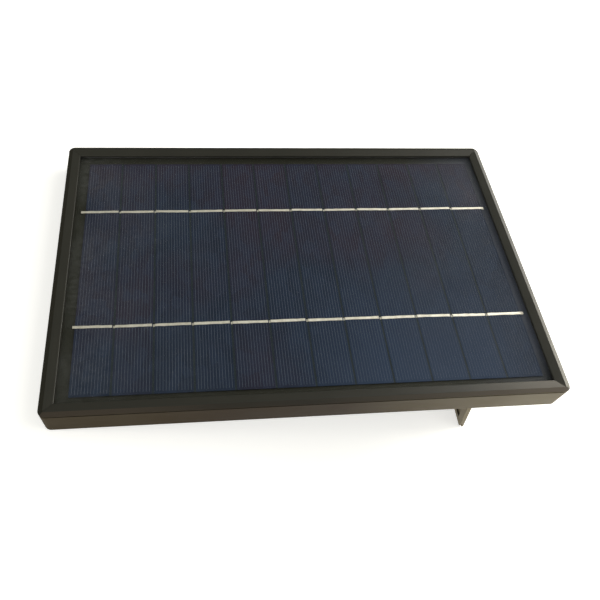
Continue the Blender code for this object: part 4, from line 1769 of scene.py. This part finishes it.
@dataclass
class JunctionBox(SubAssembly):
    """Box on the back of the board, with its lid, screws, gland and what is inside.

    The lid's edge is given as insets and heights over its face, a screw head's dome as shares of its
    radius and heights, and the gland's profiles as changes of radius and height from where they start.
    """

    wall: float = 1.6
    corner: float = 1.6
    least_corner: float = 0.3
    corner_steps: int = 5
    boss: float = 5.0
    pocket_corner: float = 0.6
    base: float = 1.5
    base_break: float = 0.25
    rim_break: float = 0.2
    waist: float = 0.5
    waist_slope: float = 0.3
    flange: float = 0.8
    counterbore: float = 1.1
    head_radius: float = 1.6
    head_height: float = 0.8
    head_dome: Profile = ((0.0, 0.0), (0.55, 0.03), (0.85, 0.15), (1.0, 0.4))
    shank: float = 0.8
    tip_radius: float = 0.25
    tip_length: float = 0.4
    recess_width: float = 0.4
    recess_reach: float = 1.05
    recess_depth: float = 0.45
    lid_edge: Profile = ((0.0, 0.5), (0.15, 0.15), (0.5, 0.0))
    groove_inset: float = 5.0
    groove_slope: float = 0.15
    groove_width: float = 0.6
    groove_depth: float = 0.3
    gland_neck: float = 2.15
    gland_bore: float = 1.55
    gland_ribs: int = 12
    rib_valley: float = 0.93
    hexagon_end: float = -1.2
    gland_waist: Profile = ((0.0, -1.1), (0.0, -0.9))
    gland_cap: Profile = ((-0.15, -0.8), (0.0, -0.6), (-0.05, 0.8))
    gland_nose: Profile = ((0.2, -0.7), (-0.1, -0.1), (-0.3, 0.0))
    gland_mouth: Profile = ((0.1, 0.0), (0.0, -0.1))
    low: Vector = field(init=False)
    high: Vector = field(init=False)
    lid_low: float = field(init=False)
    lid_high: float = field(init=False)

    def __post_init__(self) -> None:
        """Measure the box and its lid on the CAD nodes."""
        self.low, self.high = self.place.span("junction_box")
        lid = self.place.span("junction_box_lid")
        self.lid_low, self.lid_high = lid[0].z, lid[1].z

    @property
    def floor(self) -> float:
        """Height of the inner face of the box's base."""
        return self.high.z - self.base

    def outline(self, inset: float, height: float) -> Ring:
        """Draw the box's rounded outline.

        Args:
            inset: How far it is drawn in.
            height: Where it lies.

        Returns:
            Its points.
        """
        low = (self.low.x + inset, self.low.y + inset)
        high = (self.high.x - inset, self.high.y - inset)
        radius = max(self.corner - inset, self.least_corner)
        return level(rounded(rectangle(low, high, radius), self.corner_steps), height)

    def screw_drills(self) -> list[Shape]:
        """Make the stepped cutters of the four lid screws.

        Returns:
            The cutters.
        """
        start, step, end = self.lid_low - OVERCUT, self.lid_low + self.counterbore, self.floor
        head, shank = self.head_radius + GAP, self.shank + GAP
        profile = [(0.0, start), (head, start), (head, step), (shank, step), (shank, end), (0.0, end)]
        middles = [self.place.middle(f"lid_screw_{number}") for number in CORNERS]
        return [turned(profile).moved((middle.x, middle.y, 0.0)) for middle in middles]

    def shell(self) -> Shape:
        """Model the moulded box: flanged rim and foot, waisted walls, cross-shaped pocket and holes.

        Returns:
            The box.
        """
        rim, base = self.low.z, self.high.z
        sides = [
            (self.base_break, base),
            (0.0, base - self.base_break),
            (0.0, base - self.flange),
            (self.waist, base - self.flange - self.waist_slope),
            (self.waist, rim + self.flange + self.waist_slope),
            (0.0, rim + self.flange),
            (0.0, rim + self.rim_break),
            (self.rim_break, rim),
        ]
        body = Shape().loft([self.outline(*step) for step in sides])
        cutters = self.screw_drills()
        for inset_x, inset_y in ((self.wall, self.boss), (self.boss, self.wall)):
            low = (self.low.x + inset_x, self.low.y + inset_y)
            high = (self.high.x - inset_x, self.high.y - inset_y)
            pocket = rounded(rectangle(low, high, self.pocket_corner))
            cutters.append(slab(pocket, rim - OVERCUT, self.floor))
        hole = self.gland_neck + GAP
        cutter = turned([(hole, -OVERCUT), (hole, self.wall + OVERCUT)])
        at = (self.low.x, 0.0, self.place.middle("cable_gland").z)
        cutters.append(cutter.moved(at, Matrix.Rotation(QUARTER_TURN, 4, "Y")))
        for sign in ("negative", "positive"):
            low, high = self.place.span(f"lead_{sign}")
            slot_low = (low.x - GAP, low.y - GAP, self.floor - OVERCUT)
            slot_high = (high.x + GAP, high.y + GAP, base + OVERCUT)
            cutters.append(Shape().box(slot_low, slot_high))
        return body.joined(Joining.CUT, cutters)

    def lid(self) -> Shape:
        """Model the lid: rounded edge, a groove round its middle and counterbored holes.

        Returns:
            The lid.
        """
        face, bottom = self.lid_low, self.lid_low + self.groove_depth
        start = self.groove_inset + self.groove_slope
        end = start + self.groove_width
        steps = [(0.0, self.lid_high)]
        steps += [(inset, face + rise) for inset, rise in self.lid_edge]
        steps += [(self.groove_inset, face), (start, bottom), (end, bottom), (end + self.groove_slope, face)]
        return Shape().loft([self.outline(*step) for step in steps]).joined(Joining.CUT, self.screw_drills())

    def screw(self) -> Shape:
        """Model a lid screw with a crossed recess, its head at the origin's height.

        Returns:
            The screw.
        """
        top = self.head_height
        length = self.floor - GAP - self.lid_low
        profile = [(self.head_radius * share, rise) for share, rise in self.head_dome]
        profile += [(self.head_radius, top), (self.shank, top), (self.shank, length - self.tip_length)]
        profile += [(self.tip_radius, length), (0.0, length)]
        reach, half = self.recess_reach, self.recess_width / 2
        cutters = []
        for x, y in ((reach, half), (half, reach)):
            cutters.append(Shape().box((-x, -y, -OVERCUT), (x, y, self.recess_depth)))
        return turned(profile).joined(Joining.CUT, cutters)

    def ribbed(self, radius: float) -> Outline:
        """Draw a circle with a valley beside each rib.

        Args:
            radius: Radius of the ribs.

        Returns:
            The points.
        """
        points = []
        for index, (x, y) in enumerate(circle(radius)):
            share = self.rib_valley if index * self.gland_ribs % CIRCLE_STEPS == 0 else 1.0
            points.append((x * share, y * share))
        return points

    def gland(self, reach: float, depth: float, radius: float) -> Shape:
        """Model the gland: neck through the wall, hexagon, and a ribbed cap that tapers.

        Args:
            reach: How far its nose stands out of the wall.
            depth: How far its neck goes inwards.
            radius: Its largest radius.

        Returns:
            The gland, with z out of the wall.
        """
        middle, neck, bore = reach / 2, self.gland_neck, self.gland_bore
        hexagon = polygon(radius * math.cos(math.pi / HEXAGON), HEXAGON)
        stem = ((bore, -depth), (neck, -depth), (neck, GAP))
        rings = [level(circle(size), height) for size, height in stem]
        rings += [level(hexagon, height) for height in (GAP, middle + self.hexagon_end)]
        rings += [level(circle(neck + change), middle + rise) for change, rise in self.gland_waist]
        rings += [level(self.ribbed(radius + change), middle + rise) for change, rise in self.gland_cap]
        rings += [level(circle(neck + change), reach + rise) for change, rise in self.gland_nose]
        rings += [level(circle(bore + change), reach + rise) for change, rise in self.gland_mouth]
        return Shape().loft(rings, closed=True)

    def build(self) -> Iterator[bpy.types.Object]:
        """Make the box, lid, screws and gland, and dress what is inside.

        Yields:
            Each piece.
        """
        yield self.shell().piece("box_shell", self.place, Palette.plastic, ["junction_box"])
        yield self.lid().piece("box_lid", self.place, Palette.plastic, ["junction_box_lid"])
        for number in CORNERS:
            node = f"lid_screw_{number}"
            low, high = self.place.span(node)
            offset = Matrix.Translation(((low.x + high.x) / 2, (low.y + high.y) / 2, low.z))
            yield self.screw().piece(f"cross_screw_{number}", self.place, Palette.steel, [node], offset)
        low, high = self.place.span("cable_gland")
        at = (self.low.x, (low.y + high.y) / 2, (low.z + high.z) / 2)
        offset = Matrix.Translation(at) @ Matrix.Rotation(-QUARTER_TURN, 4, "Y")
        shape = self.gland(self.low.x - low.x, high.x - self.low.x, (high.z - low.z) / 2)
        yield shape.piece("ribbed_gland", self.place, Palette.nylon, ["cable_gland"], offset)
        yield Palette.dress("gland_nut", Palette.nylon)
        yield Palette.dress("blocking_diode", Palette.plastic)
        yield Palette.dress("lid_gasket", Palette.rubber)
        for node in ("terminal_negative", "terminal_positive"):
            yield Palette.dress(node, Palette.brass)


@dataclass(frozen=True)
class SoftLamp:
    """A square soft lamp that faces the panel; its sizes are in metres."""

    name: str
    direction: Point
    size: float
    radiance: float
    colour: Colour
    distance: float = 1.0

    def build(self, target: Vector) -> None:
        """Hang the lamp.

        Args:
            target: Point that it faces.
        """
        data = bpy.data.lights.new(self.name, "AREA")
        data.shape = "SQUARE"
        data.size = self.size
        data.energy = self.radiance * math.pi * self.size**2
        data.color = self.colour
        lamp = bpy.data.objects.new(self.name, data)
        bpy.context.scene.collection.objects.link(lamp)
        away = Vector(self.direction).normalized()
        lamp.location = target + away * self.distance
        lamp.rotation_euler = away.to_track_quat("Z", "Y").to_euler()


@dataclass
class Studio:
    """Pale floor, soft light and the camera at the photograph's viewing angle; its sizes are in metres."""

    target: Vector
    camera_place: Point = (-0.134781, -0.199270, 0.305178)
    camera_turn: Point = (35.0355, -19.8449, -5.2201)
    lens: float = 36.12
    shift: Point = (0.0653, -0.0319)
    clip_start: float = 0.01
    floor_size: float = 6.0
    floor_drop: float = 0.0001
    floor_colour: Colour = (0.86, 0.86, 0.85)
    floor_glow: float = 0.58
    horizon: Colour = (0.62, 0.61, 0.56)
    dark_horizon: Colour = (0.22, 0.22, 0.19)
    dark_side: Point = (-0.62, 0.78, 0.0)
    overhead: Colour = (0.41, 0.41, 0.36)
    overhead_rise: float = 0.7
    lamps: tuple[SoftLamp, ...] = (
        SoftLamp("key", (0.587, 0.55, 0.592), 0.42, 5.9, (1.0, 0.97, 0.90)),
        SoftLamp("side", (0.745, 0.15, 0.590), 0.35, 10.0, (1.0, 0.95, 0.83)),
        SoftLamp("top", (0.375, -0.15, 0.918), 0.5, 2.6, (1.0, 0.95, 0.88)),
        SoftLamp("fill", (-0.75, -0.6, 0.25), 0.6, 3.2, (1.0, 0.96, 0.89), distance=1.1),
    )

    def build_camera(self) -> None:
        """Place the camera."""
        data = bpy.data.cameras.new("photo_camera")
        data.lens = self.lens
        data.shift_x, data.shift_y = self.shift
        data.clip_start = self.clip_start
        camera = bpy.data.objects.new("photo_camera", data)
        bpy.context.scene.collection.objects.link(camera)
        camera.location = self.camera_place
        camera.rotation_euler = Euler([math.radians(angle) for angle in self.camera_turn])
        bpy.context.scene.camera = camera

    def build_floor(self) -> None:
        """Lay the pale floor, which shows white to the camera and keeps the shadow."""
        graph = NodeGraph(bpy.data.materials.new("white floor"))
        matt = graph.node("ShaderNodeBsdfDiffuse")
        graph.feed(matt.inputs["Color"], self.floor_colour)
        rays = graph.node("ShaderNodeLightPath").outputs
        seen = [rays[f"Is {kind} Ray"] for kind in ("Camera", "Glossy", "Transmission")]
        white = graph.node("ShaderNodeEmission")
        glow = graph.combine("MULTIPLY", graph.combine("MAXIMUM", *seen), self.floor_glow)
        graph.feed(white.inputs["Strength"], glow)
        both = graph.node("ShaderNodeAddShader")
        graph.feed(both.inputs[0], matt.outputs["BSDF"])
        graph.feed(both.inputs[1], white.outputs["Emission"])
        half = self.floor_size / 2
        shape = Shape()
        corners = [(x, y, -self.floor_drop) for x, y, _ in rectangle((-half, -half), (half, half))]
        shape.mesh.faces.new([shape.mesh.verts.new(corner) for corner in corners])
        mesh = shape.mesh_data("studio_floor")
        mesh.materials.append(graph.output(both.outputs["Shader"]))
        floor = bpy.data.objects.new("studio_floor", mesh)
        bpy.context.scene.collection.objects.link(floor)

    def build_world(self) -> None:
        """Light the room softly from all round, brighter at the horizon but for one dark side."""
        graph = NodeGraph(bpy.data.worlds.new("soft room"))
        direction = graph.node("ShaderNodeTexCoord").outputs["Generated"]
        axes = graph.node("ShaderNodeSeparateXYZ")
        graph.feed(axes.inputs["Vector"], direction)
        away = graph.node("ShaderNodeVectorMath", operation="DOT_PRODUCT")
        graph.feed(away.inputs[0], direction)
        graph.feed(away.inputs[1], self.dark_side)
        dusk = graph.spread(away.outputs["Value"], 0.0, 1.0, 0.0, 1.0)
        rise = graph.spread(axes.outputs["Z"], 0.0, 1.0, 0.0, self.overhead_rise)
        sky = graph.blend(rise, graph.blend(dusk, self.horizon, self.dark_horizon), self.overhead)
        background = graph.node("ShaderNodeBackground")
        graph.feed(background.inputs["Color"], sky)
        bpy.context.scene.world = graph.output(background.outputs["Background"])

    def build(self) -> None:
        """Set up the whole studio."""
        self.build_camera()
        self.build_floor()
        self.build_world()
        for lamp in self.lamps:
            lamp.build(self.target)
        bpy.context.scene.view_settings.view_transform = "Standard"


def main() -> None:
    """Build every sub-assembly and report its pieces, then set up the studio."""
    logging.basicConfig(level=logging.INFO, format="%(name)s: %(message)s")
    panel = LocalFrame.of_panel()
    leg = LocalFrame.of_leg()
    for group in (FrameRails(panel), CellArray(panel), SupportLeg(leg), PivotSets(panel), JunctionBox(panel)):
        for piece in group.build():
            mesh = piece.data
            LOG.info("%s in %s, %d faces", piece.name, mesh.materials[0].name, len(mesh.polygons))
    Studio(panel.matrix.translation).build()


if __name__ == "__main__":
    main()
